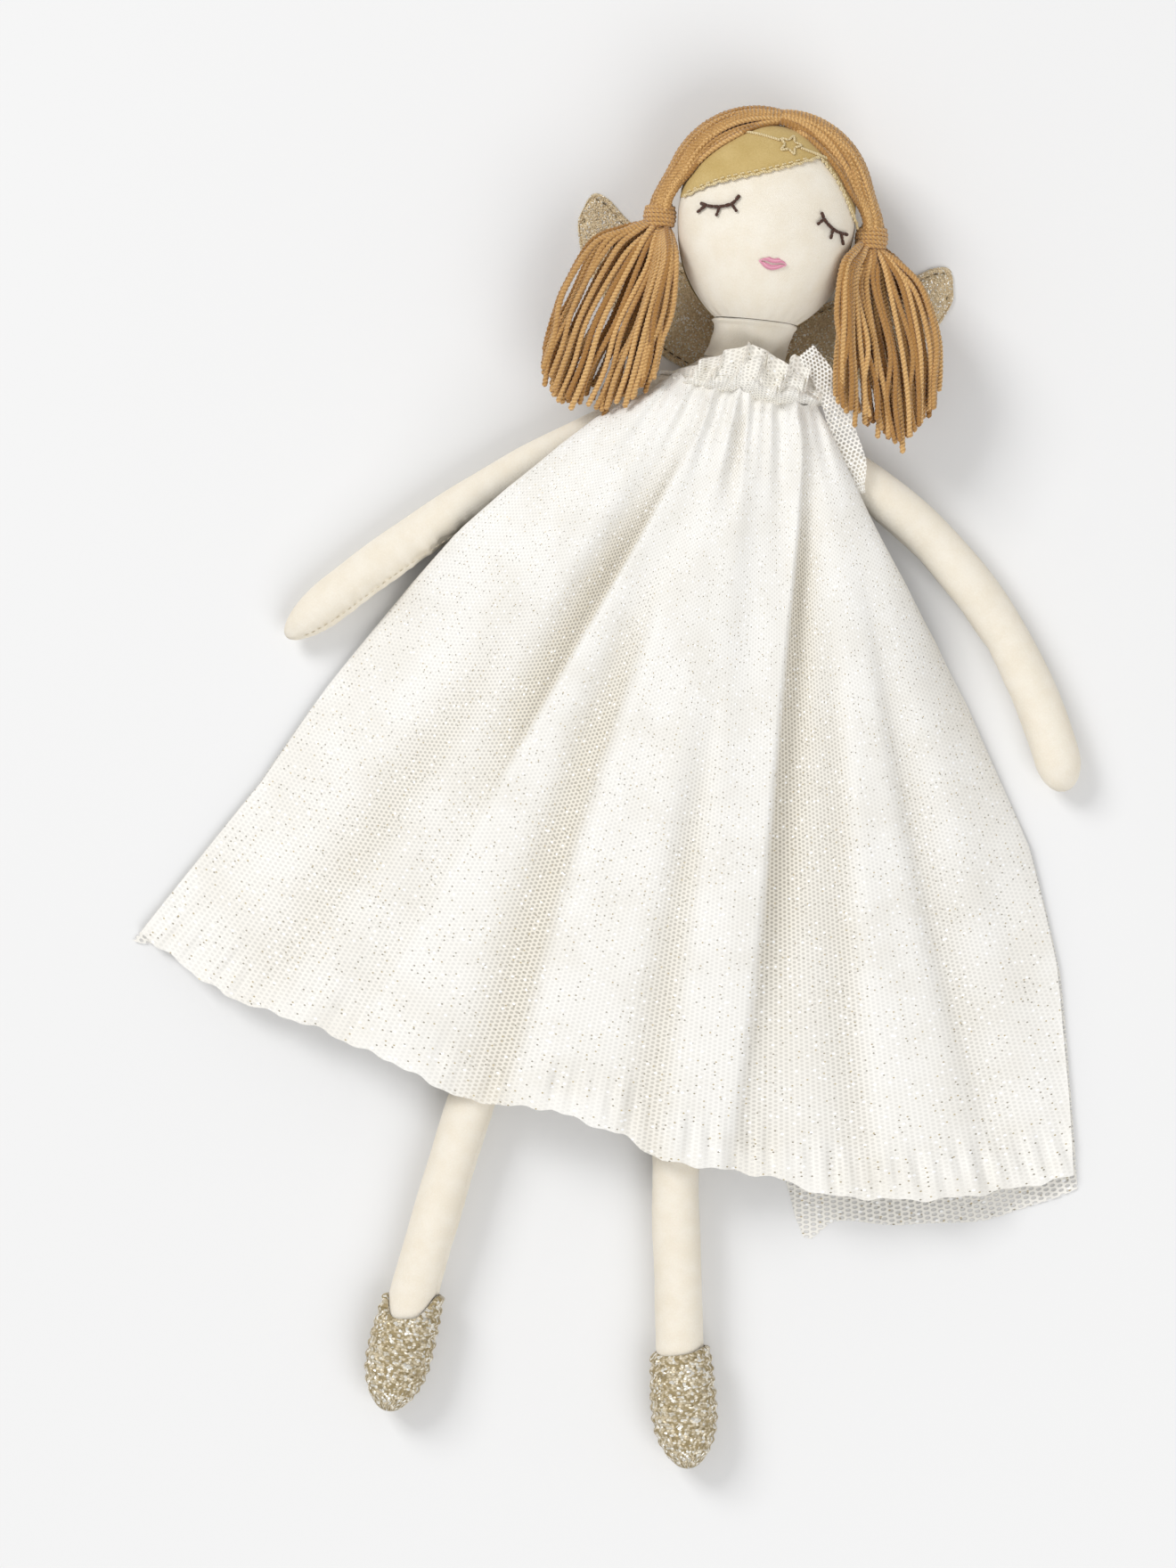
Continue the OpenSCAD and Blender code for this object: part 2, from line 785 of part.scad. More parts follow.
// Elastic cord round the body, just above the gathered neckline
elastic_t = (neck_base_y - elastic_y) / torso_len;
function elastic_rings() = [
    for (k = [0:36])
        let(
            q = k * 10,
            w = torso_half_w(elastic_t) + clearance + elastic_r,
            d = torso_half_d(elastic_t) + clearance + elastic_r
        )
        [
            for (j = [0:5])
                let(e = j * 60, grow = elastic_r * cos(e))
                [
                    (w + grow) * cos(q),
                    elastic_y + elastic_r * sin(e),
                    torso_mid_z(elastic_t) + (d + grow) * sin(q)
                ]
        ]
];
module neckline_elastic() {
    rings = elastic_rings();
    n = len(rings[0]);
    m = len(rings) - 1;
    color(tulle)
        polyhedron(
            [for (i = [0:m - 1]) each rings[i]],
            [
                for (i = [0:m - 1], j = [0:n - 1])
                    let(
                        a = i * n + j,
                        b = i * n + (j + 1) % n,
                        c = ((i + 1) % m) * n + j,
                        d = ((i + 1) % m) * n + (j + 1) % n
                    )
                    each [[a, c, b], [b, c, d]]
            ]
        );
}

torso_skin();
torso_stuffing();
hip_seam();
neck();
face_panel();
head_back_panel();
head_stuffing();
hair_cap();
headband_cord();
headband_star();
left_eye_stitching();
right_eye_stitching();
lips_stitching();
hair_crown(-1);  // hair_crown_left
hair_crown(1);  // hair_crown_right
pigtail_tie(-1);  // pigtail_tie_left
pigtail_tie(1);  // pigtail_tie_right
pigtail(-1);  // pigtail_left
pigtail(1);  // pigtail_right
limb_skin(left_arm);  // arm_left_skin
limb_stuffing(left_arm);  // arm_left_stuffing
limb_skin(right_arm);  // arm_right_skin
limb_stuffing(right_arm);  // arm_right_stuffing
limb_skin(left_leg);  // leg_left_skin
limb_stuffing(left_leg);  // leg_left_stuffing
limb_skin(right_leg);  // leg_right_skin
limb_stuffing(right_leg);  // leg_right_stuffing
shoe(left_leg);  // shoe_left
shoe(right_leg);  // shoe_right
wing_back_panel(-1);  // wing_left_back_panel
wing_wadding(-1);  // wing_left_wadding
wing_front_panel(-1);  // wing_left_front_panel
wing_back_panel(1);  // wing_right_back_panel
wing_wadding(1);  // wing_right_wadding
wing_front_panel(1);  // wing_right_front_panel
dress_front_tulle();
dress_front_lining();
dress_back_lining();
dress_back_tulle();
neck_frill();
neckline_elastic();
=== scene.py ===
"""Soft cloth fairy doll lying on its back: stuffed body, yarn pigtails, padded wings, net dress."""

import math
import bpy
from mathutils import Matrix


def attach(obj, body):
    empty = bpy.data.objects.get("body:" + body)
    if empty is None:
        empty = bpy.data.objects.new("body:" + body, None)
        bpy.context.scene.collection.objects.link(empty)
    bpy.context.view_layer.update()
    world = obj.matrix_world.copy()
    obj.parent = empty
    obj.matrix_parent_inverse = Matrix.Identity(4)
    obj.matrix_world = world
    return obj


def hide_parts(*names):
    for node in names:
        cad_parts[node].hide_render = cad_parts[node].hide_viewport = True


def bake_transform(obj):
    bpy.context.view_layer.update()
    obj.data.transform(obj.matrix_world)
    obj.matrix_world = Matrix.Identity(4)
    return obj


bl_info = {
    "name": "Cloth fairy doll",
    "version": (1, 0, 0),
    "blender": (4, 5, 0),
    "location": "View3D > Sidebar > Doll",
    "description": "Builds a stuffed cloth fairy doll piece by piece on its packed frame",
    "category": "Object",
}

import bmesh
import bpy
import numpy as np
from bpy.props import FloatProperty, IntProperty, PointerProperty
from mathutils import Vector

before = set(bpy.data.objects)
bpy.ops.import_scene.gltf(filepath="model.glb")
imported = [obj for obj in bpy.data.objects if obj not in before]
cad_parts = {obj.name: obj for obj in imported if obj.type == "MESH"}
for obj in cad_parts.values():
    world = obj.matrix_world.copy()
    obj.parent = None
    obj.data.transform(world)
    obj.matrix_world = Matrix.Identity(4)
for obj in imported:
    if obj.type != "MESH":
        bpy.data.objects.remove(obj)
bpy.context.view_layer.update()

MM = 0.001

# Sizes of the doll in millimetres
HEAD_W, HEAD_H, HEAD_D = 64.0, 70.0, 46.0
HEAD_WIDE = 0.52
HEAD_TILT = math.radians(6)
HEAD_CENTRE = (-3.0, 71.0, 26.3)
CHIN_SHARE = 30.0 / 64.0
NECK_BASE_Y, NECK_LEN, NECK_W, NECK_D = 20.0, 14.6, 30.0, 19.0
TORSO_LEN, SHOULDER_W, HIP_W, TORSO_D = 135.0, 66.0, 66.0, 33.0
TORSO_BACK_Z, WING_TOP_Z = 1.7, 3.3
TIE_X, TIE_LEN = 37.8, 7.0
CROWN_W, CROWN_H = 32.0, 33.6
YARN_R, PLY_PITCH, YARN_LOBE = 1.15, 5.2, 0.15
SHOE_LEN, SHOE_PAST_TOE, RUCHE_PITCH = 41.0, 2.1, 4.3
WING_SEAM, WING_MID_Z = 2.4, 0.55
HIP_STRIP_X, HIP_STRIP_Y, HIP_STRIP_Z = 28.8, -117.3, 14.0
ELASTIC_Y = 11.0

# The dress is a fan about one point. Its radii in millimetres: neckline, hem, farthest hem, the radius
# at which the cloth is true to scale, and how far down the folds lean
FAN_Y, NECKLINE_R, HEM_R, HEM_FAR_R = 72.0, 62.1, 330.1, 340.0
FAN_CLOTH_R, LEAN_R = 210.0, 110.0
BACK_RIPPLE_SEED = 84

# Painted beige shade of the folds, tints of the net and its specks, the painted white of the net's sparkle
# highlights, and the painted white glints of the brightest flakes
PAINTED_FOLD_SHADE = "#e8e2d5"
SPECK_GREY, SPECK_GOLD, NET_SHADE = "#8f8879", "#b5a47c", "#efece5"
PAINTED_SPARKLE_WHITE, PAINTED_FLAKE_GLINT = "#ffffff", "#fffdf6"

# Camera, lamps and floor, in metres
CAMERA_SPOT, CAMERA_TURN, CAMERA_LENS = (-0.0233, -0.1382, 2.015), math.radians(12), 128.6
LAMP_AIM = (0.0, -0.12, 0.0)
FILL_SHARE = 0.48
FLOOR_HALF = 6

# Outlines read in the photograph, in millimetres
HAIRLINE = [
    (-33.6, 71.8), (-23.7, 77.9), (-8.8, 84.3), (2.9, 90.3), (11.0, 95.3), (19.8, 87.1), (30.4, 73.0),
]
LEFT_EYE = [(-27.2, 70.2), (-23.6, 69.6), (-19.5, 70.2), (-16.0, 72.0), (-14.1, 75.4)]
LEFT_LASHES = [
    ((-25.0, 69.8), (-27.6, 66.8)), ((-20.2, 70.0), (-20.8, 66.4)), ((-16.4, 71.6), (-13.9, 69.2)),
]
RIGHT_EYE = [(15.1, 75.7), (17.2, 73.0), (20.0, 71.2), (22.8, 70.4), (26.0, 70.6)]
RIGHT_LASHES = [
    ((16.6, 73.4), (14.6, 70.8)), ((20.6, 71.0), (20.4, 67.2)), ((23.6, 70.4), (25.4, 66.6)),
]
LEFT_PIGTAIL_ENDS = [
    (-30.0, 4.0), (-38.0, -6.0), (-47.0, -9.0), (-56.0, -10.0), (-64.0, -8.0), (-70.5, 1.0),
]
RIGHT_PIGTAIL_ENDS = [
    (34.0, 14.0), (38.5, 7.0), (46.0, 4.5), (54.0, 2.0), (61.0, -0.5), (66.0, 8.0), (70.0, 14.0),
]
HEADBAND = ([(-23.5, 98.3), (-14.0, 98.7), (-4.2, 97.7)], [(3.4, 96.6), (8.0, 96.0), (14.5, 95.2)])
STAR_X, STAR_Y, STAR_OUT, STAR_IN = -0.4, 96.9, 4.3, 1.9
LIPS_LEFT, LIPS_RIGHT, LIPS_Y = -2.7, 6.9, 54.1
WING_LOW = ((3, 12.5), (31, 12.5), (66.2, 35), (69, 60))
WING_HIGH = [(3, 38), (20, 46), (34.5, 55), (51, 63), (60, 69.2), (66, 69.4), (69, 60)]
FRILL_LEFT, FRILL_RIGHT = -23.0, 30.0
FRILL_LOW = ([-23, -9, 0, 10.5, 24, 30], [7.0, 6.6, 7.8, 6.2, 8.4, 10.5])
FRILL_HIGH = (
    [-23, -18, -11, 0, 8, 14, 18, 24, 30],
    [11.0, 14.5, 18.8, 26.6, 24.5, 22.0, 25.6, 21.5, 15.5],
)
SHOULDER_LINE = [(20.0, 27.5), (27.0, 21.5), (33.5, 12.5), (40.5, 0.5), (50.5, -17.0)]
HEM_ANGLE = [-30.5, -23.4, -17.9, -12.5, -7.4, -2.1, 2.6, 5.1, 8.3, 12.0, 15.1, 21.4, 29.0]
HEM_REACH = [341.0, 339.0, 331.0, 329.0, 332.0, 326.0, 330.0, 337.0, 338.0, 341.0, 348.0, 354.0, 358.0]
EDGE_R = [62.0, 72.0, 88.0, 102.0, 127.0, 150.0, 175.0, 225.0, 268.0, 303.0, 341.0, 358.0]
LEFT_EDGE = [-21.5, -25.8, -30.2, -31.6, -32.9, -33.5, -33.2, -32.0, -30.6, -30.2, -29.8, -29.6]
RIGHT_EDGE = [24.5, 27.0, 28.8, 29.8, 31.8, 33.2, 34.0, 34.4, 33.0, 31.2, 29.5, 28.9]

# Folds of the skirt: angle, how far it leans towards the neck, soft side width, sharp side width, depth,
# where it starts, how long it grows, where it fades and how much of it is lost there
FOLDS = [
    (-27.0, 0.0, 2.4, 2.4, 2.6, 190, 90, 250, 0.35),
    (-21.5, 0.0, 3.4, 2.2, 5.6, 120, 120, 250, 0.35),
    (-17.0, 10.4, 4.2, 0.55, 8.6, 60, 80, 176, 0.7),
    (-6.2, 0.0, 3.2, 1.3, 6.6, 104, 90, 270, 0.35),
    (4.8, -1.5, 2.2, 1.2, 4.8, 150, 90, 270, 0.3),
    (3.2, 0.0, 2.4, 1.5, 4.4, 60, 16, 82, 1.0),
    (8.5, 13.5, 0.5, 3.6, 8.4, 60, 75, 220, 0.55),
    (17.5, 3.0, 2.6, 1.2, 4.6, 120, 80, 270, 0.35),
    (25.0, 1.6, 1.2, 2.8, 5.0, 110, 110, 260, 0.35),
    (31.0, 0.0, 1.6, 1.6, 2.6, 190, 90, 250, 0.35),
]


def ease(t):
    """Smooth step from 0 to 1."""
    t = np.clip(t, 0.0, 1.0)
    return t * t * (3.0 - 2.0 * t)


def mix(a, b, t):
    """Straight blend from a to b."""
    return a + (b - a) * t


def bell(x):
    """Bell curve, 1 at 0."""
    return np.exp(-(x**2))


def angles(count):
    """Evenly spaced angles of a full turn."""
    return np.arange(count) * math.tau / count


def angle_from(q, middle):
    """Signed turn from a middle angle, at most half a turn."""
    return np.angle(np.exp(1j * (q - middle)))


def join(*parts):
    """Arrays stacked as the parts of points or of cloth coordinates."""
    return np.stack(np.broadcast_arrays(*parts), axis=-1)


def wrap_coords(radius, q, along):
    """Cloth coordinates of a closed shape, round its angles and along it."""
    return join(radius * np.append(q, math.tau)[None, :], along)


def unit(rows):
    """Rows scaled to length 1."""
    return rows / (np.linalg.norm(rows, axis=-1, keepdims=True) + 1e-12)


def side_of(heading):
    """Direction to the right of a heading."""
    return join(np.cos(heading - math.pi / 2), np.sin(heading - math.pi / 2), 0 * heading)


def run_along(line):
    """Distance along a line at each of its points."""
    return np.concatenate([[0], np.cumsum(np.linalg.norm(np.diff(line, axis=0), axis=1))])


def at_places(places, run, line):
    """Points of a line at distances along it."""
    return np.stack([np.interp(places, run, part) for part in line.T], axis=1)


def rings(line, size, q, out, up):
    """Rings of points about a line, of given sizes, between two directions."""
    return line[:, None] + size[..., None] * (np.cos(q)[None, :, None] * out + np.sin(q)[None, :, None] * up)


def end_round(distance, span):
    """Share of the full radius at a distance from a rounded end."""
    return np.sqrt(np.clip(1.0 - (1.0 - np.clip(distance / span, 0.0, 1.0)) ** 2, 0.0, 1.0))


def linear(code):
    """Linear RGBA colour of a hex code."""
    values = [int(code[i : i + 2], 16) / 255.0 for i in (1, 3, 5)]
    return tuple(v / 12.92 if v <= 0.04045 else ((v + 0.055) / 1.055) ** 2.4 for v in values) + (1.0,)


def smooth_line(points, count):
    """A round curve through the points, at evenly spaced places."""
    p = np.asarray(points, float)
    p = np.vstack([2 * p[0] - p[1], p, 2 * p[-1] - p[-2]])
    out = []
    for k in range(len(p) - 3):
        t = np.linspace(0, 1, 24, endpoint=k == len(p) - 4)[:, None]
        a, b, c, d = p[k : k + 4]
        square, cube = 2 * a - 5 * b + 4 * c - d, 3 * b - a - 3 * c + d
        out.append(0.5 * (2 * b + (c - a) * t + square * t**2 + cube * t**3))
    line = np.vstack(out)
    run = run_along(line)
    places = np.linspace(0, run[-1], count)
    return at_places(places, run, line)


def ripple(x, y, seed, pitch, count=7):
    """Soft random waves over a plane, about -1 to 1."""
    rng = np.random.default_rng(seed)
    total = 0.0
    for _ in range(count):
        turn, phase, stretch = rng.uniform(0, math.tau), rng.uniform(0, math.tau), rng.uniform(0.7, 1.5)
        step = math.tau / (pitch * stretch)
        total = total + np.sin(step * (x * math.cos(turn) + y * math.sin(turn)) + phase)
    return total / math.sqrt(count)


class Shape:
    """Points, faces, cloth coordinates and a shade value gathered for one mesh."""

    def __init__(self):
        self.points = []
        self.faces = []
        self.coords = []
        self.shades = []
        self.count = 0

    def grid(self, points, coords, closed=False, shade=0.5):
        """Adds a grid of points [rows, columns, 3], closed round its columns or open."""
        rows, columns = points.shape[:2]
        spans = columns if closed else columns - 1
        i, j = np.meshgrid(np.arange(rows - 1), np.arange(spans), indexing="ij")
        i, j = i.ravel(), j.ravel()
        k = (j + 1) % columns
        low, high = i * columns, (i + 1) * columns
        self.faces.append(np.stack([low + j, low + k, high + k, high + j], axis=1) + self.count)
        corners = (coords[i, j], coords[i, j + 1], coords[i + 1, j + 1], coords[i + 1, j])
        self.coords.append(np.stack(corners, axis=1))
        self.points.append(points.reshape(-1, 3))
        self.shades.append(np.broadcast_to(shade, (rows, columns)).ravel())
        self.count += rows * columns

    def tube(self, line, radius, sides=8, twist=0.0, lobes=0, lobe_depth=0.0, shade=0.5, taper=0.4):
        """Adds a round or lobed tube along a line, drawn in at both ends."""
        line = np.asarray(line, float)
        run = run_along(line)
        along = unit(np.gradient(line, axis=0))
        across = unit(np.cross(along, (0.0, 0.0, 1.0)))
        rise = np.cross(across, along)
        q = angles(sides)
        turn = q[None, :] - twist * run[:, None]
        lobed = 1 - lobe_depth + lobe_depth * np.cos(lobes * turn)
        size = np.broadcast_to(radius, run.shape)[:, None] * lobed
        ends = end_round(np.minimum(run, run[-1] - run), taper)
        size = size * np.maximum(ends, 0.05)[:, None]
        points = rings(line, size, q, across[:, None], rise[:, None])
        coords = wrap_coords(float(np.mean(radius)), q, run[:, None])
        self.grid(points, coords, closed=True, shade=shade)

    def build(self, name, look):
        """Makes the object in metres, smooth shaded, with its cloth coordinates and shade."""
        points = np.vstack(self.points) * MM
        faces = np.vstack(self.faces)
        mesh = bpy.data.meshes.new(name)
        mesh.from_pydata(points.tolist(), [], faces.tolist())
        layer = mesh.uv_layers.new(name="cloth")
        layer.data.foreach_set("uv", np.vstack(self.coords).reshape(-1).astype(np.float32))
        shade = mesh.attributes.new("shade", "FLOAT", "POINT")
        shade.data.foreach_set("value", np.concatenate(self.shades).astype(np.float32))
        work = bmesh.new()
        work.from_mesh(mesh)
        bmesh.ops.remove_doubles(work, verts=work.verts, dist=2e-6)
        bmesh.ops.recalc_face_normals(work, faces=work.faces)
        work.to_mesh(mesh)
        work.free()
        mesh.polygons.foreach_set("use_smooth", np.ones(len(mesh.polygons), bool))
        mesh.materials.append(look)
        obj = bpy.data.objects.new(name, mesh)
        bpy.context.scene.collection.objects.link(obj)
        return obj


def grid_piece(name, look, points, coords, closed=False, shade=0.5):
    """A piece made of one grid."""
    shape = Shape()
    shape.grid(points, coords, closed, shade)
    return shape.build(name, look)


class Value:
    """One output of a material's node tree, with arithmetic."""

    def __init__(self, look, socket):
        self.look = look
        self.socket = socket

    def math(self, operation, other=None, swap=False):
        """A maths node on this value and another."""
        parts = [self] if other is None else [other, self] if swap else [self, other]
        return self.look.node("ShaderNodeMath", inputs=dict(enumerate(parts)), operation=operation)

    def __add__(self, other):
        return self.math("ADD", other)

    def __radd__(self, other):
        return self.math("ADD", other, True)

    def __sub__(self, other):
        return self.math("SUBTRACT", other)

    def __rsub__(self, other):
        return self.math("SUBTRACT", other, True)

    def __mul__(self, other):
        return self.math("MULTIPLY", other)

    def __gt__(self, other):
        return self.math("GREATER_THAN", other)

    def sin(self):
        """Sine of the value."""
        return self.math("SINE")

    def cos(self):
        """Cosine of the value."""
        return self.math("COSINE")

    def step(self, low, high):
        """0 below low, 1 above high, smooth between."""
        return self.look.node(
            "ShaderNodeMapRange",
            inputs={0: self, 1: low, 2: high, 3: 0.0, 4: 1.0},
            interpolation_type="SMOOTHSTEP",
        )


class Look:
    """A procedural material around one Principled shader."""

    def __init__(self, name, **constants):
        self.material = bpy.data.materials.new(name)
        self.material.use_nodes = True
        self.tree = self.material.node_tree
        self.shader = self.tree.nodes["Principled BSDF"]
        for key, value in constants.items():
            self.shader.inputs[key.replace("_", " ").title().replace("Ior", "IOR")].default_value = value

    def node(self, kind, out=0, inputs=None, **settings):
        """Adds a node, feeds its inputs and returns one output."""
        made = self.tree.nodes.new(kind)
        for key, value in settings.items():
            setattr(made, key, value)
        for key, value in (inputs or {}).items():
            self.feed(made.inputs[key], value)
        return Value(self, made.outputs[out])

    def feed(self, socket, value):
        """Links a value to a socket, or sets a constant."""
        if isinstance(value, Value):
            self.tree.links.new(value.socket, socket)
        else:
            socket.default_value = value

    def drive(self, name, value):
        """Feeds an input of the Principled shader."""
        self.feed(self.shader.inputs[name], value)

    def cloth(self):
        """Cloth coordinates in millimetres."""
        return self.node("ShaderNodeUVMap", uv_map="cloth")

    def split(self, vector):
        """The first two parts of a vector."""
        made = self.node("ShaderNodeSeparateXYZ", inputs={0: vector})
        return made, Value(self, made.socket.node.outputs[1])

    def noise(self, vector, scale, detail=2.0):
        """Noise from 0 to 1, scale per millimetre."""
        return self.node("ShaderNodeTexNoise", inputs={"Vector": vector, "Scale": scale, "Detail": detail})

    def blend(self, factor, a, b):
        """Colour blend from a to b."""
        return self.node("ShaderNodeMix", out=2, inputs={0: factor, 6: a, 7: b}, data_type="RGBA")

    def shade(self):
        """The shade value kept with each point: a strand's own tone on yarn, and on the dress how deep the
        point lies in a fold, which sets the painted fold shade.
        """
        return self.node("ShaderNodeAttribute", out="Fac", attribute_name="shade")

    def cells(self, vector, scale):
        """Random cells: distance, colour parts and offsets from each cell's point, in cell sizes."""
        near = self.node(
            "ShaderNodeTexVoronoi", inputs={"Vector": vector, "Scale": scale}, voronoi_dimensions="2D"
        )
        outputs = near.socket.node.outputs
        colour = self.node("ShaderNodeSeparateColor", inputs={0: Value(self, outputs["Color"])})
        parts = [Value(self, colour.socket.node.outputs[k]) for k in range(3)]
        offset = self.node(
            "ShaderNodeVectorMath",
            inputs={0: vector, 1: Value(self, outputs["Position"])},
            operation="SUBTRACT",
        )
        x, y = self.split(offset)
        return near, parts, x, y

    def bump(self, height, distance, strength=1.0):
        """Feeds the normal from a height in millimetres."""
        normal = self.node(
            "ShaderNodeBump", inputs={"Height": height, "Distance": distance * MM, "Strength": strength}
        )
        self.drive("Normal", normal)


def cotton_look(name, tint, dark):
    """Plain woven cotton with soft unevenness."""
    look = Look(name, roughness=0.9, sheen_weight=0.15, specular_ior_level=0.2)
    cloth = look.cloth()
    x, y = look.split(cloth)
    weave = (x * 10.5).sin() * (y * 10.5).sin()
    soft = look.noise(cloth, 0.11, 3.0)
    slub = look.noise(cloth, 1.4, 2.0)
    uneven = (soft * 0.7 + slub * 0.4).step(0.3, 0.8)
    look.drive("Base Color", look.blend(uneven, linear(tint), linear(dark)))
    look.bump(weave * 0.35 + slub * 0.5 + soft * 1.4, 0.22, 0.7)
    return look.material


def satin_look(name, tint, dark):
    """Smooth lining satin with a soft shine and painted beige shade down in the folds."""
    look = Look(name, roughness=0.42, sheen_weight=0.2, specular_ior_level=0.45)
    cloth = look.cloth()
    soft = look.noise(cloth, 0.06, 3.0)
    fine = look.noise(cloth, 0.9, 2.0)
    plain = look.blend(soft.step(0.35, 0.75), linear(tint), linear(dark))
    # Painted shade: the satin turns beige the deeper it lies in a fold
    look.drive("Base Color", look.blend(look.shade().step(0.5, 1.0), plain, linear(PAINTED_FOLD_SHADE)))
    look.drive("Roughness", 0.36 + soft * 0.16)
    look.bump(soft * 2.0 + fine * 0.25, 0.25, 0.5)
    return look.material


def tulle_look(name, tint, hole, cell):
    """Fine six-sided net with scattered glitter specks and white flecks painted as sparkle highlights, with
    painted beige shade and a more open net down in the folds.
    """
    look = Look(name, roughness=0.6, sheen_weight=0.1, specular_ior_level=0.3)
    cloth = look.cloth()
    x, y = look.split(cloth)
    step = math.tau / cell
    lattice = (
        (x * step).cos()
        + (x * (-0.5 * step) + y * (0.866 * step)).cos()
        + (x * (-0.5 * step) - y * (0.866 * step)).cos()
    )
    net = 1.0 - lattice.step(-0.7, 0.9)
    near, parts, across, along = look.cells(cloth, 1 / 2.1)
    picked = parts[0] > 0.66
    speck = (1.0 - near.step(0.08, 0.15)) * picked
    # Real glitter flecks whose white is a painted sparkle highlight
    spark_near, spark_parts, _, _ = look.cells(cloth, 1 / 3.1)
    spark = (1.0 - spark_near.step(0.1, 0.15)) * (spark_parts[1] > 0.62)
    glint = look.blend(parts[1].step(0.3, 0.9), linear(SPECK_GREY), linear(SPECK_GOLD))
    thread = look.blend(look.noise(cloth, 0.05, 2.0).step(0.35, 0.7), linear(tint), linear(NET_SHADE))
    # Painted shade: the net thread turns beige the deeper it lies in a fold
    deep = look.shade().step(0.5, 1.0)
    thread = look.blend(deep, thread, linear(PAINTED_FOLD_SHADE))
    look.drive("Base Color", look.blend(spark, look.blend(speck, thread, glint), linear(PAINTED_SPARKLE_WHITE)))
    look.drive("Metallic", speck * 0.2)
    look.drive("Roughness", 0.6 - speck * 0.3 - spark * 0.45)
    open_net = hole - deep * 0.3
    cover = open_net + (1.0 - open_net) * net
    look.drive("Alpha", (cover + speck + spark).step(0.0, 1.0))
    look.bump(net * 0.5 + across * (parts[1] - 0.5) * speck + along * (parts[2] - 0.5) * speck, 0.2, 0.35)
    return look.material


def glitter_look(name, tint, bright, dark, cell):
    """Cloth covered with small tilted flakes, a share of them painted near white as glints."""
    look = Look(name, specular_ior_level=0.6)
    cloth = look.cloth()
    near, parts, x, y = look.cells(cloth, 1 / cell)
    flake = look.blend(parts[0].step(0.45, 0.95), linear(tint), linear(bright))
    soft = look.noise(cloth, 0.12, 2.0)
    rim = near.step(0.42, 0.62)
    low = look.blend((parts[1].step(0.45, 0.8) + rim * 0.6).step(0.0, 1.0), flake, linear(dark))
    # Painted glints: a share of the flakes is painted near white as if it caught the light
    glint = look.blend(parts[2].step(0.84, 0.9), low, linear(PAINTED_FLAKE_GLINT))
    look.drive("Base Color", look.blend(soft.step(0.3, 0.8) * 0.25, glint, linear(dark)))
    look.drive("Metallic", parts[2].step(0.35, 0.8) * 0.5)
    look.drive("Roughness", 0.28 + parts[1] * 0.4)
    tilt = x * (parts[0] - 0.5) * 2.6 + y * (parts[2] - 0.5) * 2.6
    look.bump(tilt - near * 0.25 + soft * 0.6, 0.6, 0.9)
    return look.material


def yarn_look(name, tint, bright, dark):
    """Soft twisted yarn, each strand a little different, with painted shade in the grooves between its
    plies.
    """
    look = Look(name, roughness=0.88, sheen_weight=0.35, specular_ior_level=0.2)
    cloth = look.cloth()
    fibre = look.noise(cloth, 2.6, 3.0)
    patch = look.noise(cloth, 0.16, 2.0)
    strand = look.shade() * 0.75 + patch * 0.35
    tone = look.blend(strand.step(0.15, 0.95), linear(dark), linear(bright))
    tone = look.blend(fibre.step(0.35, 0.75) * 0.6, tone, linear(tint))
    x, y = look.split(cloth)
    ply = (x * 1.8 + y * 4.6).sin()
    # Painted shade: the grooves between the plies are darkened
    look.drive("Base Color", look.blend((1.0 - ply.step(-0.9, 0.4)) * 0.5, tone, linear(dark)))
    look.bump(fibre * 0.5 + ply * 0.5, 0.4, 0.9)
    return look.material


def thread_look(name, tint, dark):
    """Embroidery thread with fine twisted lines."""
    look = Look(name, roughness=0.55, sheen_weight=0.2, specular_ior_level=0.35)
    cloth = look.cloth()
    x, y = look.split(cloth)
    lay = (x * 5.0 + y * 7.0).sin()
    uneven = look.noise(cloth, 0.7, 2.0)
    look.drive("Base Color", look.blend((lay * 0.3 + uneven).step(0.2, 0.9), linear(tint), linear(dark)))
    look.bump(lay, 0.12, 0.7)
    return look.material


class Limb:
    """A stuffed limb along an arc, with round ends."""

    def __init__(self, x, y, root_z, end_z, heading, bend, length, half_w, half_d, tip):
        self.start = (x, y)
        self.root_z, self.end_z = root_z, end_z
        self.heading, self.bend = math.radians(heading), math.radians(bend)
        self.length, self.half_w, self.half_d, self.tip = length, half_w, half_d, tip

    def at(self, s):
        """Middle points and headings at distances along the limb."""
        t = s / self.length
        half = self.bend * t / 2
        chord = s * np.sinc(half / math.pi)
        a = self.heading + half
        middle = join(
            self.start[0] + chord * np.cos(a),
            self.start[1] + chord * np.sin(a),
            mix(self.root_z, self.end_z, ease(t)),
        )
        return middle, self.heading + self.bend * t

    def surface(self, s, q, half_w, half_d):
        """Grid of points at distances s and angles q, where q = 90 degrees is the upper side."""
        middle, heading = self.at(s)
        side = side_of(heading)
        return (
            middle[:, None]
            + (half_w * np.cos(q)[None, :])[..., None] * side[:, None]
            + (half_d * np.sin(q)[None, :])[..., None] * np.array([0.0, 0.0, 1.0])
        )


ARM_LEFT = Limb(-33.3, -6, 15.5, 7.6, 215.5, 17, 149, 8.2, 7.3, 26)
ARM_RIGHT = Limb(32, -6, 15.5, 7.6, -16, -51, 155, 8.2, 7.3, 13)
LEG_LEFT = Limb(-14, -119.6, 14, 10.1, 255, 15, 253.9, 8.5, 7.7, 20)
LEG_RIGHT = Limb(14, -119.6, 14, 10.1, 275, 12, 253.9, 8.5, 7.7, 20)

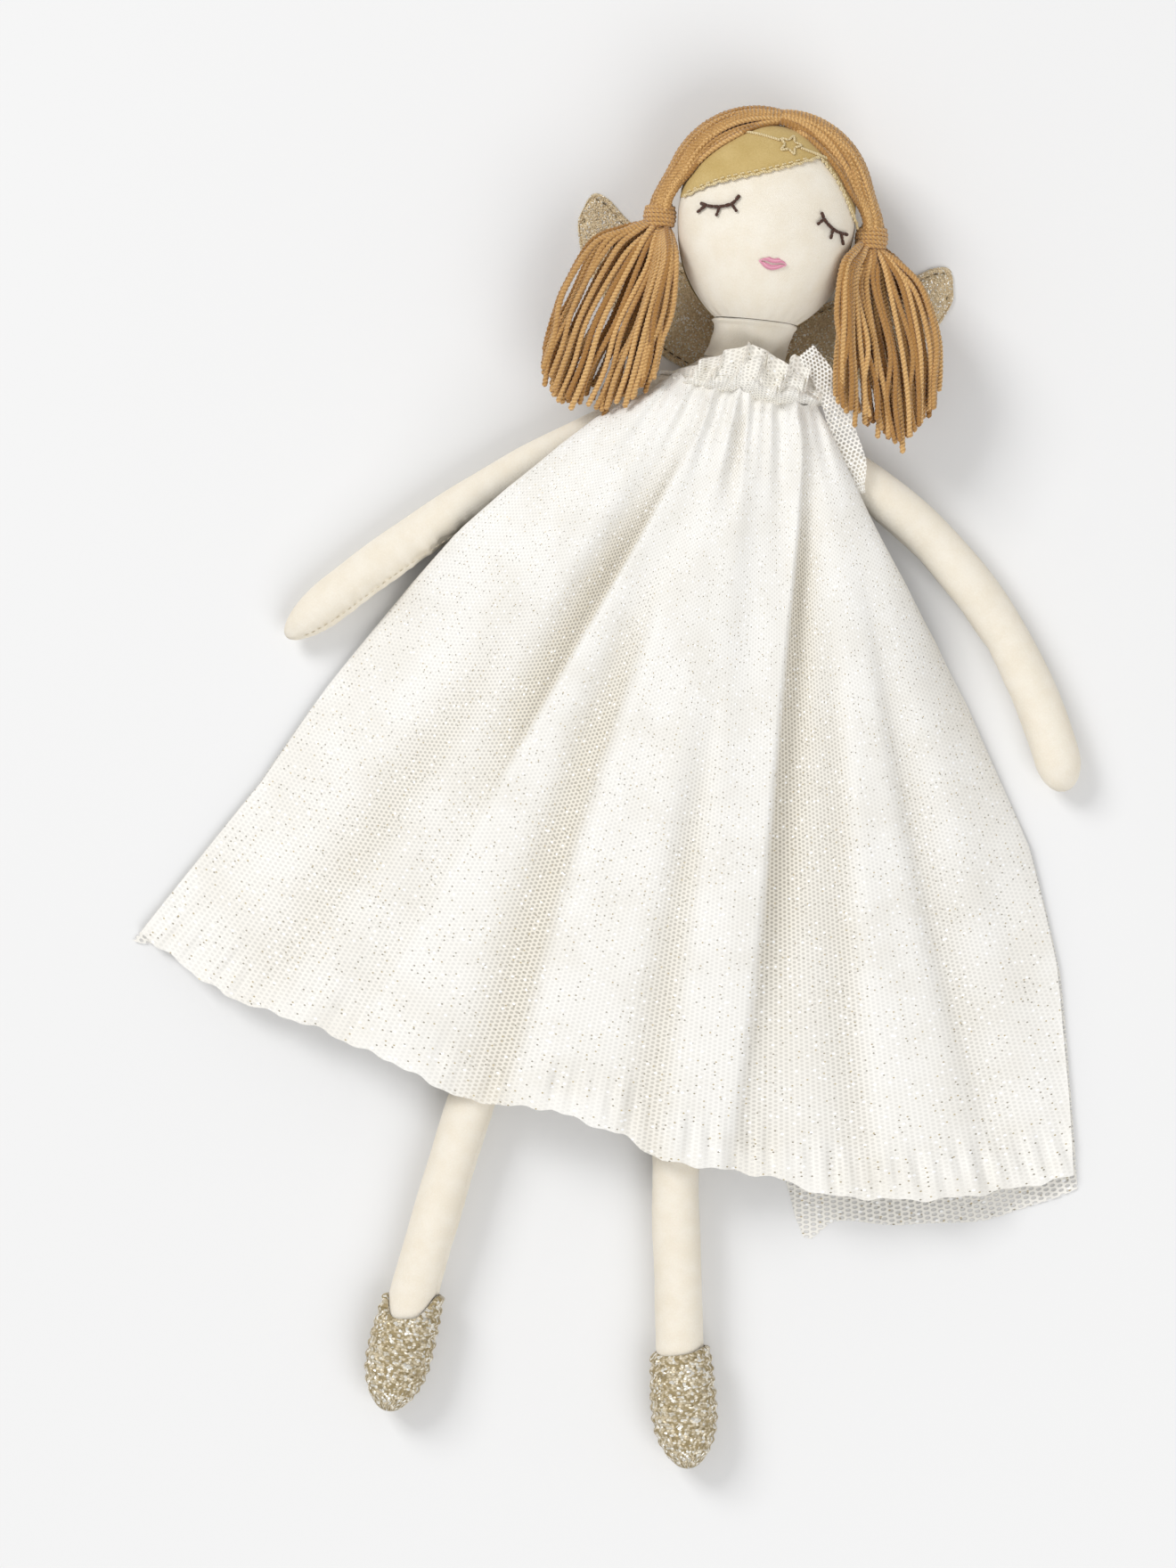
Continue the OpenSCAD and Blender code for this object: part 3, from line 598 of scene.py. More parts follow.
# Creases of the limbs: place along the limb in millimetres, depth, angle round it and width
UP, NEAR, INNER = math.radians(90), math.radians(150), math.radians(15)
ARM_LEFT_CREASES = [(60, 0.06, UP, 2.4), (84, 0.09, NEAR, 3.0), (92, 0.07, NEAR, 2.2), (118, 0.05, UP, 3.0)]
ARM_RIGHT_CREASES = [
    (26, 0.05, INNER, 3.4),
    (96, 0.07, INNER, 4.0),
    (104, 0.04, INNER, 3.0),
    (60, 0.03, UP, 5.0),
]
LEG_LEFT_CREASES = [
    (134, 0.05, UP, 2.2),
    (150, 0.06, UP, 2.6),
    (168, 0.05, UP, 3.0),
    (192, 0.04, UP, 3.0),
    (204, 0.06, UP, 2.2),
]
LEG_RIGHT_CREASES = [(140, 0.03, UP, 3.0), (162, 0.03, UP, 4.0), (190, 0.03, UP, 4.0)]
SEAM_SEAT = 0.955


def torso_section(t):
    """Half width, half depth and middle height of the body along its length."""
    half_w = np.where(
        t < 0.11,
        mix(NECK_W / 2 + 1, SHOULDER_W / 2, ease(t / 0.11)),
        mix(SHOULDER_W / 2, HIP_W / 2, t) - 4 * np.sin(math.pi * (t - 0.11) / 0.89),
    )
    half_d = np.where(
        t < 0.25,
        mix(NECK_D / 2 + 1, TORSO_D / 2, ease(t / 0.25)),
        mix(TORSO_D / 2, 5.0, (np.maximum(0, t - 0.25) / 0.75) ** 3),
    )
    back = mix(WING_TOP_Z, TORSO_BACK_Z, ease((t - 0.06) / 0.06))
    middle = np.where(t < 0.5, back + half_d, mix(TORSO_BACK_Z + half_d, 14.0, ease(t * 2 - 1)))
    return half_w, half_d, middle


def head_round(t):
    """Share of the head's full width at a share of its height."""
    chin_span = HEAD_WIDE / math.sqrt(1 - CHIN_SHARE**2)
    q = np.where(t < HEAD_WIDE, (HEAD_WIDE - t) / chin_span, (t - HEAD_WIDE) / (1 - HEAD_WIDE))
    return np.sqrt(np.clip(1 - q * q, 0, 1))


def head_world(x, y, z):
    """Row-frame point of a point in the head's own tilted frame."""
    c, s = math.cos(HEAD_TILT), math.sin(HEAD_TILT)
    return join(
        HEAD_CENTRE[0] + x * c - y * s,
        HEAD_CENTRE[1] + x * s + y * c,
        HEAD_CENTRE[2] + z,
    )


def head_local(x, y):
    """Place in the head's own tilted frame of a row-frame place."""
    c, s = math.cos(HEAD_TILT), math.sin(HEAD_TILT)
    dx, dy = np.asarray(x) - HEAD_CENTRE[0], np.asarray(y) - HEAD_CENTRE[1]
    return dx * c + dy * s, dy * c - dx * s


def head_front(x, y, grow):
    """Height of the face over the head's middle plane, at a place in its own frame."""
    r = head_round((y + HEAD_WIDE * HEAD_H) / HEAD_H)
    w = HEAD_W / 2 * r + grow
    return (HEAD_D / 2 * r + grow) * np.sqrt(np.clip(1 - x * x / np.maximum(w * w, 1e-6), 0.0, 1))


def on_face(points, grow):
    """Row-frame points lifted on to the face from row-frame places."""
    points = np.asarray(points, float)
    x, y = head_local(points[:, 0], points[:, 1])
    return head_world(x, y, head_front(x, y, grow))


def finish_piece(obj, body, nodes=()):
    """Ties a piece to its body and hides the solids that it stands for."""
    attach(obj, body)
    if nodes:
        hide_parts(*nodes)


def limb_piece(name, limb, look, seam, pucker, creases, seed):
    """A stuffed cotton limb with a side seam, puckers along it and soft creases."""
    rows, sides = 190, 56
    t = np.linspace(0, 1, rows)
    s = limb.length * mix(t, ease(t), 0.7)
    q = angles(sides)
    r = end_round(s, limb.half_w) * end_round(limb.length - s, limb.tip)
    away = angle_from(q, seam)
    groove = bell(away / 0.11)
    beside = bell(away / 0.55)
    rng = np.random.default_rng(seed)
    wobble = ripple(s, s * 0, seed, 9.0)
    swell = 1 + 0.03 * ripple(s[:, None], q[None, :] * limb.half_w, seed + 1, 38.0)
    pinch = pucker * beside[None, :] * (0.5 + 0.5 * np.sin(s * 0.95 + 1.6 * wobble))[:, None]
    fold = 0.0
    for place, depth, angle, width in creases:
        slant = rng.uniform(-2.0, 2.0) * np.sin(q)
        reach = bell(angle_from(q, angle) / 0.9)
        fold = fold + depth * bell((s[:, None] - place - slant[None, :]) / width) * reach[None, :]
    size = r[:, None] * (swell - 0.07 * groove[None, :] - pinch - fold)
    points = limb.surface(s, q, limb.half_w * size, limb.half_d * size)
    coords = wrap_coords(limb.half_w, q, s[:, None])
    return grid_piece(name, look, points, coords, closed=True)


def seam_stitches(name, limb, look, seam, first, last):
    """Short stitches along a limb's seam."""
    shape = Shape()
    for place in np.arange(first, last, 2.6):
        s = np.linspace(place, place + 1.8, 5)
        r = end_round(limb.length - s, limb.tip)
        half_w, half_d = limb.half_w * SEAM_SEAT * r, limb.half_d * SEAM_SEAT * r
        line = limb.surface(s, np.array([seam]), half_w[:, None], half_d[:, None])
        shape.tube(line[:, 0], 0.16, sides=6)
    return shape.build(name, look)


def shoe_piece(name, limb, look, vamp, lean):
    """A glitter shoe hugging the end of a leg, with ruched rows and a scooped opening."""
    rows, sides = 130, 96
    t = np.linspace(0, 1, rows)
    q = angles(sides)
    top = np.exp(-((angle_from(q, math.radians(80)) / 0.95) ** 4))
    first = limb.length - SHOE_LEN + vamp * top + lean * np.cos(q)
    length = limb.length + SHOE_PAST_TOE
    s = first[None, :] + (length - first)[None, :] * mix(t, ease(t), 0.35)[:, None]
    r = end_round(length - s, limb.tip)
    rows_up = np.sin((s - limb.length) * math.tau / RUCHE_PITCH + 0.8 * ripple(s, q[None, :] * 9, 5, 16.0))
    swell = 1.2 * np.sin(math.pi * t)[:, None] + 0.42 * rows_up * ease((length - s) / 6)
    rim = 0.12 * bell((s - first[None, :]) / 1.1) - 1.2 * bell((s - first[None, :]) / 0.5)
    half_w = (limb.half_w + 2.0 + swell + rim) * r
    half_d = (limb.half_d + 1.9 + 0.6 * swell + rim) * r
    middle, heading = limb.at(s)
    side = side_of(heading)
    points = middle + (half_w * np.cos(q))[..., None] * side
    points[..., 2] += half_d * np.sin(q)
    inside = middle[:1] + ((limb.half_w + 0.4) * np.cos(q)[None, :])[..., None] * side[:1]
    inside[..., 2] += (limb.half_d + 0.4) * np.sin(q)
    points = np.concatenate([inside, points])
    points[..., 2] = np.maximum(points[..., 2], 0.1)
    s = np.concatenate([s[:1] - 2.0, s])
    along = np.concatenate([s, s[:, :1]], axis=1)
    coords = wrap_coords(limb.half_w, q, along)
    return grid_piece(name, look, points, coords, closed=True)


def torso_piece(name, look):
    """The stuffed body under the dress."""
    t = np.linspace(0, 1, 120)
    q = angles(72)
    half_w, half_d, middle = torso_section(t)
    close = np.where(t > 0.97, end_round(1 - t, 0.03) * 0.35 + 0.65, 1.0) * np.where(t < 0.001, 0.9, 1.0)
    seam = 1 - 0.02 * bell((np.abs(np.cos(q)) - 1) / 0.01)
    swell = 1 - 0.012 * (1 + ripple(t[:, None] * TORSO_LEN, q[None, :] * 30, 21, 34.0))
    size = close[:, None] * seam[None, :] * swell
    points = join(
        half_w[:, None] * np.cos(q) * size,
        (NECK_BASE_Y - t * TORSO_LEN)[:, None],
        middle[:, None] + half_d[:, None] * np.sin(q) * size,
    )
    points = np.concatenate([points.mean(axis=1, keepdims=True)[:1].repeat(72, 1), points])
    points = np.concatenate([points, points[-1:].mean(axis=1, keepdims=True).repeat(72, 1)])
    s = np.concatenate([[-4], t * TORSO_LEN, [TORSO_LEN + 4]])
    coords = wrap_coords(30, q, s[:, None])
    return grid_piece(name, look, points, coords, closed=True)


def neck_piece(name, look):
    """The stuffed neck with a folded seam where it meets the chin."""
    t = np.linspace(0, 1, 60)
    q = angles(72)
    base = torso_section(np.array([0.0]))[2][0]
    pinch = 1 - 0.07 * np.sin(math.pi * t) + 0.05 * bell((t - 0.93) / 0.05)
    pinch = pinch * np.where(t > 0.985, 0.985, 1.0)
    chin = head_world(0.0, -HEAD_WIDE * HEAD_H, 0.0)
    x, lean = mix(0.0, chin[0], t), HEAD_TILT * t
    z = mix(base, HEAD_CENTRE[2], t)
    half = NECK_W / 2 * pinch[:, None] * np.cos(q)
    crease = 1 - 0.02 * (1 + ripple(t[:, None] * 16, q[None, :] * 15, 31, 9.0))
    points = join(
        x[:, None] + half * np.cos(lean)[:, None] * crease,
        NECK_BASE_Y + 0.1 + (NECK_LEN * t)[:, None] + half * np.sin(lean)[:, None],
        z[:, None] + NECK_D / 2 * pinch[:, None] * np.sin(q) * crease,
    )
    coords = wrap_coords(15, q, (t * 15)[:, None])
    return grid_piece(name, look, points, coords, closed=True)


def head_half(name, look, first, last, seed):
    """Front or back half of the stuffed head, between two angles round its own axis."""
    t = 1 - (1 - np.linspace(0.0, 1, 110)) ** 1.35
    q = np.linspace(first, last, 90)
    r = head_round(t)
    edge = bell(np.abs(np.sin(q)) / 0.09)
    swell = 1 - 0.008 * (1 + ripple(t[:, None] * HEAD_H, q[None, :] * 28, seed, 30.0))
    chin = 1 - 0.03 * bell(t / 0.05)[:, None] * (0.5 + 0.5 * np.sin(q * 22))[None, :]
    size = r[:, None] * swell * chin * (1 - 0.012 * edge[None, :])
    points = head_world(
        HEAD_W / 2 * size * np.cos(q)[None, :],
        (t * HEAD_H - HEAD_WIDE * HEAD_H)[:, None],
        HEAD_D / 2 * size * np.sin(q)[None, :],
    )
    coords = join(30 * q[None, :], (t * HEAD_H)[:, None])
    return grid_piece(name, look, points, coords)


def cap_piece(name, look):
    """The ochre cotton cap whose slanted hairline rises to one side."""
    hair = np.array(HAIRLINE)
    hx, hy = head_local(hair[:, 0], hair[:, 1])
    x = np.linspace(-31.2, 31.0, 130)
    low = np.interp(x, hx, hy)
    high = (1 - HEAD_WIDE) * HEAD_H * np.sqrt(1 - (x / CROWN_W) ** 2)
    low = np.minimum(low, high - 0.4)
    v = np.linspace(0, 1, 60)[:, None]
    y = low + (high - low) * v
    rolled = 0.9 * end_round(v * (high - low), 1.2)
    z = head_front(np.broadcast_to(x, y.shape), y, 0.0) + 0.2 + rolled
    points = head_world(np.broadcast_to(x, y.shape), y, z)
    coords = join(x[None, :], y)
    return grid_piece(name, look, points, coords)


def stitched_line(shape, points, radius, length, gap, grow, rng):
    """Back stitches along a line on the face."""
    line = smooth_line(points, 200)
    run = run_along(line)
    start = 0.0
    while start < run[-1] - 0.3 * length:
        stop = min(run[-1], start + length * rng.uniform(0.85, 1.15))
        places = np.linspace(start, stop, 9)
        part = at_places(places, run, line)
        seat = on_face(part, grow)
        seat[:, 2] += 0.35 * radius * np.sin(np.linspace(0, math.pi, 9))
        shape.tube(seat, radius * rng.uniform(0.92, 1.08), sides=8, taper=0.5)
        start = stop + gap


def eye_piece(name, look, arc, lashes, seed):
    """A closed eye: a stitched arc with lashes below it."""
    rng = np.random.default_rng(seed)
    shape = Shape()
    stitched_line(shape, arc, 0.62, 2.5, -0.25, 0.25, rng)
    for lash in lashes:
        stitched_line(shape, [lash[0], tuple(np.mean(lash, axis=0)), lash[1]], 0.56, 2.3, -0.2, 0.25, rng)
    return shape.build(name, look)


def lips_piece(name, look):
    """A small bow of satin stitches."""
    rng = np.random.default_rng(8)
    shape = Shape()
    for x in np.arange(LIPS_LEFT + 0.2, LIPS_RIGHT, 0.42):
        u = (x - LIPS_LEFT) / (LIPS_RIGHT - LIPS_LEFT)
        bow = LIPS_Y + 0.5 * u
        upper = bow + 2.3 * math.sin(math.pi * u) ** 0.8 - 0.75 * math.exp(-(((u - 0.47) / 0.1) ** 2))
        lower = bow - 2.7 * math.sin(math.pi * u) ** 0.9
        middle = bow - 0.1 + 0.25 * math.sin(math.tau * 1.5 * u)
        for a, b in ((middle + 0.12, upper), (lower, middle - 0.12)):
            y = np.linspace(a, b + rng.uniform(-0.15, 0.15), 6)
            seat = on_face(np.stack([np.full(6, x) + 0.16 * (y - bow), y], axis=1), 0.15)
            seat[:, 2] += 0.3 * np.sin(np.linspace(0, math.pi, 6))
            shape.tube(seat, 0.3, sides=7, taper=0.3)
    return shape.build(name, look)


def hairline_trim(name, look):
    """A rolled thread edge along the hairline with a row of top stitches behind it."""
    rng = np.random.default_rng(12)
    shape = Shape()
    apex = HAIRLINE[4]
    for side in (HAIRLINE[:5], HAIRLINE[4:]):
        line = smooth_line(side, 160)
        wave = 0.25 * np.sin(np.linspace(0, len(line) * 0.5, len(line)))
        seat = on_face(np.stack([line[:, 0], line[:, 1] + wave], axis=1), 0.7)
        shape.tube(seat, 0.5 + 0.12 * np.sin(np.arange(160) * 0.9), sides=8)
        middle = line[80]
        toward = np.array([apex[0] * 0.1 - 2.0, 101.0]) - middle
        inside = line + 1.9 * toward / np.linalg.norm(toward)
        stitched_line(shape, inside[::20], 0.3, 1.7, 0.8, 1.25, rng)
    return shape.build(name, look)


def headband_piece(name, look):
    """A thin twisted cord sewn across the cap."""
    shape = Shape()
    for side in HEADBAND:
        line = smooth_line(side, 90)
        shape.tube(on_face(line, 1.5), 0.55, sides=9, twist=2.2, lobes=3, lobe_depth=0.16)
    return shape.build(name, look)


def star_piece(name, look):
    """A small five-pointed star of stitched lines."""
    rng = np.random.default_rng(3)
    shape = Shape()
    corners = []
    for k in range(11):
        r = STAR_OUT if k % 2 == 0 else STAR_IN
        a = math.radians(36 * k + 8)
        corners.append((STAR_X + r * math.sin(a), STAR_Y + 0.92 * r * math.cos(a)))
    for a, b in zip(corners, corners[1:]):
        stitched_line(shape, [a, tuple(np.mean([a, b], axis=0)), b], 0.42, 3.2, 0.1, 1.5, rng)
    return shape.build(name, look)


def clear_of_head(line, gap):
    """Lifts the points of a line that would run inside the head on to the face."""
    x, y = head_local(line[:, 0], line[:, 1])
    front = head_front(x, y, gap)
    raised = np.where(front > 0.5, np.maximum(line[:, 2], HEAD_CENTRE[2] + front), line[:, 2])
    return np.stack([line[:, 0], line[:, 1], raised], axis=1)


def yarn_strand(shape, line, rng, radius=YARN_R, gap=0.0):
    """One strand of three-ply yarn along a line, kept a gap off the face if one is given."""
    length = float(np.sum(np.linalg.norm(np.diff(line, axis=0), axis=1)))
    fine = smooth_line(line, max(24, int(length / 0.62)))
    if gap:
        fine = smooth_line(clear_of_head(fine, gap)[::4], len(fine))
    shape.tube(
        fine,
        radius * rng.uniform(0.9, 1.1),
        sides=9,
        twist=math.tau / PLY_PITCH,
        lobes=3,
        lobe_depth=YARN_LOBE,
        shade=rng.uniform(0.0, 1.0),
        taper=0.9,
    )


def crown_piece(name, look, side, strands, seed):
    """Yarn laid over the rim of the head from the parting to a tie."""
    rng = np.random.default_rng(seed)
    shape = Shape()
    u = np.linspace(0, 1, 16)
    a = np.radians(mix(89.0 if side > 0 else 93.0, -1.5, u))
    spread = np.sin(math.pi * np.clip(0.10 + 0.84 * u, 0, 1)) ** 0.8
    gathered = ease((u - 0.72) / 0.28)
    for k in range(strands):
        f = (k + rng.uniform(-0.35, 0.35)) / (strands - 1)
        f = np.clip(f + 0.05 * np.sin(u * 4 + rng.uniform(0, 6)) * (1 - gathered), 0, 1)
        turn = mix(-0.62, 0.80, f) * math.pi
        inner = np.clip(-np.cos(turn), 0, 1)
        reach = np.where(np.cos(turn) > 0, 4.2, 7.4) * spread
        out = mix(3.0 + reach * np.cos(turn), TIE_X - CROWN_W + 3.4 * np.cos(turn), gathered)
        ring_x, ring_y = CROWN_W + out, CROWN_H + out
        x, y = side * ring_x * np.cos(a), ring_y * np.sin(a)
        rest = head_front(x, y, 1.4) + 0.6
        high = mix(4.2 + 5.0 * spread, 4.2, gathered) * np.sin(turn) + 3.0 * inner
        z = np.where(np.sin(turn) > 0, np.maximum(high, rest * (out < 0.5)), high)
        yarn_strand(shape, head_world(x, y, z), rng, 1.06)
    return shape.build(name, look)


def tie_piece(name, look, side, seed):
    """Yarn wrapped round the top of a pigtail."""
    rng = np.random.default_rng(seed)
    turns = 4.5
    t = np.linspace(0, 1, 220)
    q = t * turns * math.tau
    radius = 4.6 + 0.5 * np.sin(math.pi * t)
    line = head_world(side * TIE_X + radius * np.cos(q), 0.4 - (TIE_LEN - 0.4) * t, radius * np.sin(q))
    shape = Shape()
    run = run_along(line)
    places = np.linspace(0, run[-1], 320)
    even = at_places(places, run, line)
    along = unit(np.gradient(even, axis=0))
    axis = head_world(0.0, -1.0, 0.0) - head_world(0.0, 0.0, 0.0)
    out = np.cross(along, axis)
    w = angles(9)
    size = 0.98 * (0.86 + 0.14 * np.cos(3 * (w[None, :] - places[:, None] * math.tau / 5)))
    size = size * np.maximum(end_round(np.minimum(places, places[-1] - places), 0.9), 0.05)[:, None]
    points = rings(even, size, w, out[:, None], axis)
    coords = wrap_coords(1.0, w, places[:, None])
    shape.grid(points, coords, closed=True, shade=0.55)
    for k in range(12):
        b = math.tau * k / 12
        core = head_world(
            side * TIE_X + 3.2 * math.cos(b), -np.linspace(-2.4, TIE_LEN + 0.4, 6), 3.2 * math.sin(b)
        )
        yarn_strand(shape, core, rng, 1.05)
    return shape.build(name, look)


def pigtail_piece(name, look, side, ends, strands, seed):
    """A pigtail of separate strands that fan out from the tie to uneven cut ends."""
    rng = np.random.default_rng(seed)
    shape = Shape()
    curve = smooth_line(ends, 100)
    root = head_world(side * TIE_X, -TIE_LEN + 0.6, 0.0)
    for k in range(strands):
        layer = k % 3
        f = np.clip((k + rng.uniform(-0.9, 0.9)) / (strands - 1), 0, 1)
        spot = curve[int(round(f * 99))]
        spread = 2 * f - 1
        short = rng.uniform(-1.5, 5.5) + 3.0 * (layer == 2)
        disc = 3.6 * math.sqrt(rng.uniform(0.05, 1))
        turn = rng.uniform(0, math.tau)
        start = root + np.array([3.4 * side * spread, 0.6 * disc * math.cos(turn), (1 - layer) * 2.2])
        fan = side * (19.0 if spread > 0 else 5.4) * spread
        inner = ease(-spread * 1.4)
        height = mix(28.0, 33.0, inner) + (1 - layer) * 3.2 + rng.uniform(-1.2, 1.2)
        height = height - 4.0 * ease((spread - 0.2) / 0.8)
        end = np.array([spot[0], spot[1] + short, height])
        drop = 11.0 + 5.0 * (1 - abs(spread))
        lift = 5.0 * (1 - 0.8 * layer)
        puff = np.array([start[0] + fan, start[1] - drop, start[2] + lift + 7.0 * inner])
        wave = rng.uniform(-1.5, 1.5, 3)
        third = mix(puff, end, 0.45) + np.array([fan * 0.12 + wave[0], 2.0, 2.4 - layer + 0.5 * wave[1]])
        fourth = mix(puff, end, 0.76) + np.array([fan * 0.08 - wave[0], 1.0, 1.0 + 0.5 * wave[2]])
        first = mix(start, puff, 0.4) + (0.08 * fan, 0.4, 1.6)
        line = np.stack([start, first, puff, third, fourth, end])
        yarn_strand(shape, line, rng, gap=2.8 - 0.4 * layer)
    return shape.build(name, look)


def bezier(a, b, c, d, count):
    """Points of a cubic curve."""
    t = np.linspace(0, 1, count)[:, None]
    a, b, c, d = (np.array(p, float) for p in (a, b, c, d))
    return (1 - t) ** 3 * a + 3 * (1 - t) ** 2 * t * b + 3 * (1 - t) * t**2 * c + t**3 * d


def wing_edges(count):
    """Lower and upper outline of the right wing, from its root to its tip."""
    low = bezier(*WING_LOW, count)
    high = smooth_line(WING_HIGH, count)
    return low, high


def wing_piece(name, look, side):
    """A padded wing, pinched along its sewn edge."""
    low, high = wing_edges(110)
    v = np.linspace(0, 1, 70)
    flat = low[:, None] + (high - low)[:, None] * (0.5 - 0.5 * np.cos(math.pi * v))[None, :, None]
    edge = np.minimum(
        np.linalg.norm(flat - low[:, None], axis=2), np.linalg.norm(flat - high[:, None], axis=2)
    )
    tip = np.linalg.norm(flat - low[-1], axis=2)
    edge = np.minimum(edge, tip)
    puff = 0.9 * end_round(edge, 1.2) + 1.5 * end_round(np.maximum(edge - WING_SEAM, 0), 9.0)
    puff = puff - 0.45 * bell((edge - WING_SEAM) / 0.55)
    puff = puff * (1 + 0.06 * ripple(flat[..., 0], flat[..., 1], 41, 13.0))
    top = np.stack([side * flat[..., 0], flat[..., 1], WING_MID_Z + puff], axis=2)
    under = np.stack([side * flat[..., 0], flat[..., 1], WING_MID_Z - 0.2 * np.minimum(puff, 2.2)], axis=2)
    shape = Shape()
    shape.grid(top, flat)
    shape.grid(under[:, ::-1], flat[:, ::-1])
    return shape.build(name, look)


def wing_stitches(name, look, side):
    """Top stitches just inside a wing's edge."""
    low, high = wing_edges(160)
    outline = np.vstack([low, high[::-1]])
    middle = np.array([40.0, 40.0])
    shape = Shape()
    line = smooth_line(outline[::8], 900)
    along = unit(np.gradient(line, axis=0))
    inward = np.stack([-along[:, 1], along[:, 0]], axis=1)
    inward *= np.sign(np.sum(inward * (middle - line), axis=1))[:, None]
    line = line + WING_SEAM * inward
    run = run_along(line)
    for start in np.arange(1.0, run[-1] - 3, 3.1):
        places = np.linspace(start, start + 2.2, 5)
        part = at_places(places, run, line)
        height = WING_MID_Z + 0.62 + 0.2 * np.sin(np.linspace(0, math.pi, 5))
        shape.tube(np.stack([side * part[:, 0], part[:, 1], height], axis=1), 0.24, sides=6)
    return shape.build(name, look)


def fan_place(r, a):
    """Place of a distance and an angle in degrees about the fan's point."""
    return r * np.sin(np.radians(a)), FAN_Y - r * np.cos(np.radians(a))


def front_height(r, a, left, right):
    """Height of the dress front before its small folds, at distances and angles about the fan's point."""
    t = (r - NECKLINE_R) / (HEM_R - NECKLINE_R)
    crest = 38.4 + 3.4 * ease(t * 5) - 15.0 * ease((t - 0.4) / 0.7)
    away = np.where(a < 0, a / left, a / right)
    start = np.where(a < 0, 142.0, 122.0)
    edge = mix(26.6, 2.6, ease((r - start) / 55.0))
    power = mix(0.42, 0.95, ease((r - 140) / 170))
    across = np.clip(1 - away**2, 0, 1) ** power
    return mix(edge, crest, across), np.clip(1 - away**2, 0, 1) ** 0.4


def skirt_folds(r, a):
    """Depth of the main folds of the skirt."""
    depth = 0.0
    for angle, lean, soft, sharp, deep, start, grow, stop, lost in FOLDS:
        away = a - angle - lean * np.exp((NECKLINE_R - r) / LEAN_R) - 0.5 * np.sin(r / 47.0 + angle)
        width = np.where(away < 0, soft, sharp)
        fade = 1 - lost * ease((r - stop) / (0.4 * stop))
        depth = depth + deep * bell(away / width) * ease((r - start) / grow) * fade
    return depth


def dress_front(rows, columns, drop, hem_lift, crumple, phase):
    """Grid of the dress front, its cloth coordinates and how deep in a fold each point lies, which sets the
    painted fold shade.
    """
    v = np.linspace(0, 1, rows)[:, None]
    u = np.linspace(0, 1, columns)[None, :]
    guess = mix(NECKLINE_R, HEM_FAR_R, v)
    left, right = np.interp(guess, EDGE_R, LEFT_EDGE), np.interp(guess, EDGE_R, RIGHT_EDGE)
    a = mix(left, right, u)
    hem = np.interp(a, HEM_ANGLE, HEM_REACH) + 0.5 * np.sin(a * 1.9) + 0.3 * np.sin(a * 3.7)
    hem = hem - hem_lift * (1 + 0.22 * np.sin(a * 1.1 + phase))
    top = NECKLINE_R / np.cos(np.radians(a)) + 1.2 * np.sin(a * 0.7)
    r = mix(top, hem, v)
    base, across = front_height(r, a, left, right)
    x, y = fan_place(r, a)
    waves = 1.5 * np.sin(a * 0.72 + 0.6) + 0.8 * np.sin(a * 1.7 + 2.0)
    gather = (1 - ease((r - NECKLINE_R) / 46)) * waves
    soft = 1.1 * ripple(a * 3.4, r * 0.3, 61, 52.0) + 0.5 * ripple(a * 3.4, r * 0.2, 62, 17.0)
    near_hem = bell((hem + hem_lift - 9.0 - r) / 9.0)
    wrinkle = crumple * near_hem * ripple(a * 5.8, r * 0.25, 64, 9.0)
    roll = ease((r - top) / 9.0)
    depth = skirt_folds(r, a) * across
    z = base - depth + (gather + soft) * np.clip(across, 0.12, 1) - drop + wrinkle
    z = z - 4.0 * (1 - roll) * np.clip(across, 0.3, 1)
    z = np.maximum(z, 2.4 - drop * 0.6)
    coords = join(a * np.radians(1.0) * FAN_CLOTH_R, r)
    # The last part is the fold depth, which the net and satin looks paint as beige shade
    return np.stack([x, y, z], axis=2), coords, 0.5 + 0.5 * np.clip(depth / 8.0, 0, 1)


def dress_back(rows, columns, height, drop, phase):
    """Grid of a back layer of the dress, lying on the surface."""
    v = np.linspace(0, 1, rows)[:, None]
    u = np.linspace(0, 1, columns)[None, :]
    guess = mix(NECKLINE_R, HEM_FAR_R, v)
    a = mix(np.interp(guess, EDGE_R, LEFT_EDGE), np.interp(guess, EDGE_R, RIGHT_EDGE), u)
    hem = np.interp(a, HEM_ANGLE, HEM_REACH) + drop(a) + 0.4 * np.sin(a * 1.3 + phase)
    r = mix(NECKLINE_R / np.cos(np.radians(a)), hem, v)
    x, y = fan_place(r, a)
    z = height + 0.28 * ripple(x, y, BACK_RIPPLE_SEED, 34.0) * ease((r - 160) / 120)
    coords = join(a * np.radians(1.0) * FAN_CLOTH_R, r)
    return np.stack([x, y, np.maximum(z, 0.15)], axis=2), coords, 0.5


def back_drop(a):
    """How far the back net shows below the front hem."""
    right = mix(-7.0, 10.0, ease((a - 12.2) / 1.6)) + 9.0 * bell(a - 13.9)
    return right + 11.0 * ease((-a - 27.0) / 3.0) - 5.0 * ease((a - 24.0) / 6.0)


def lining_drop(a):
    """How far the back lining ends above the front hem."""
    return np.full_like(a, -11.0)


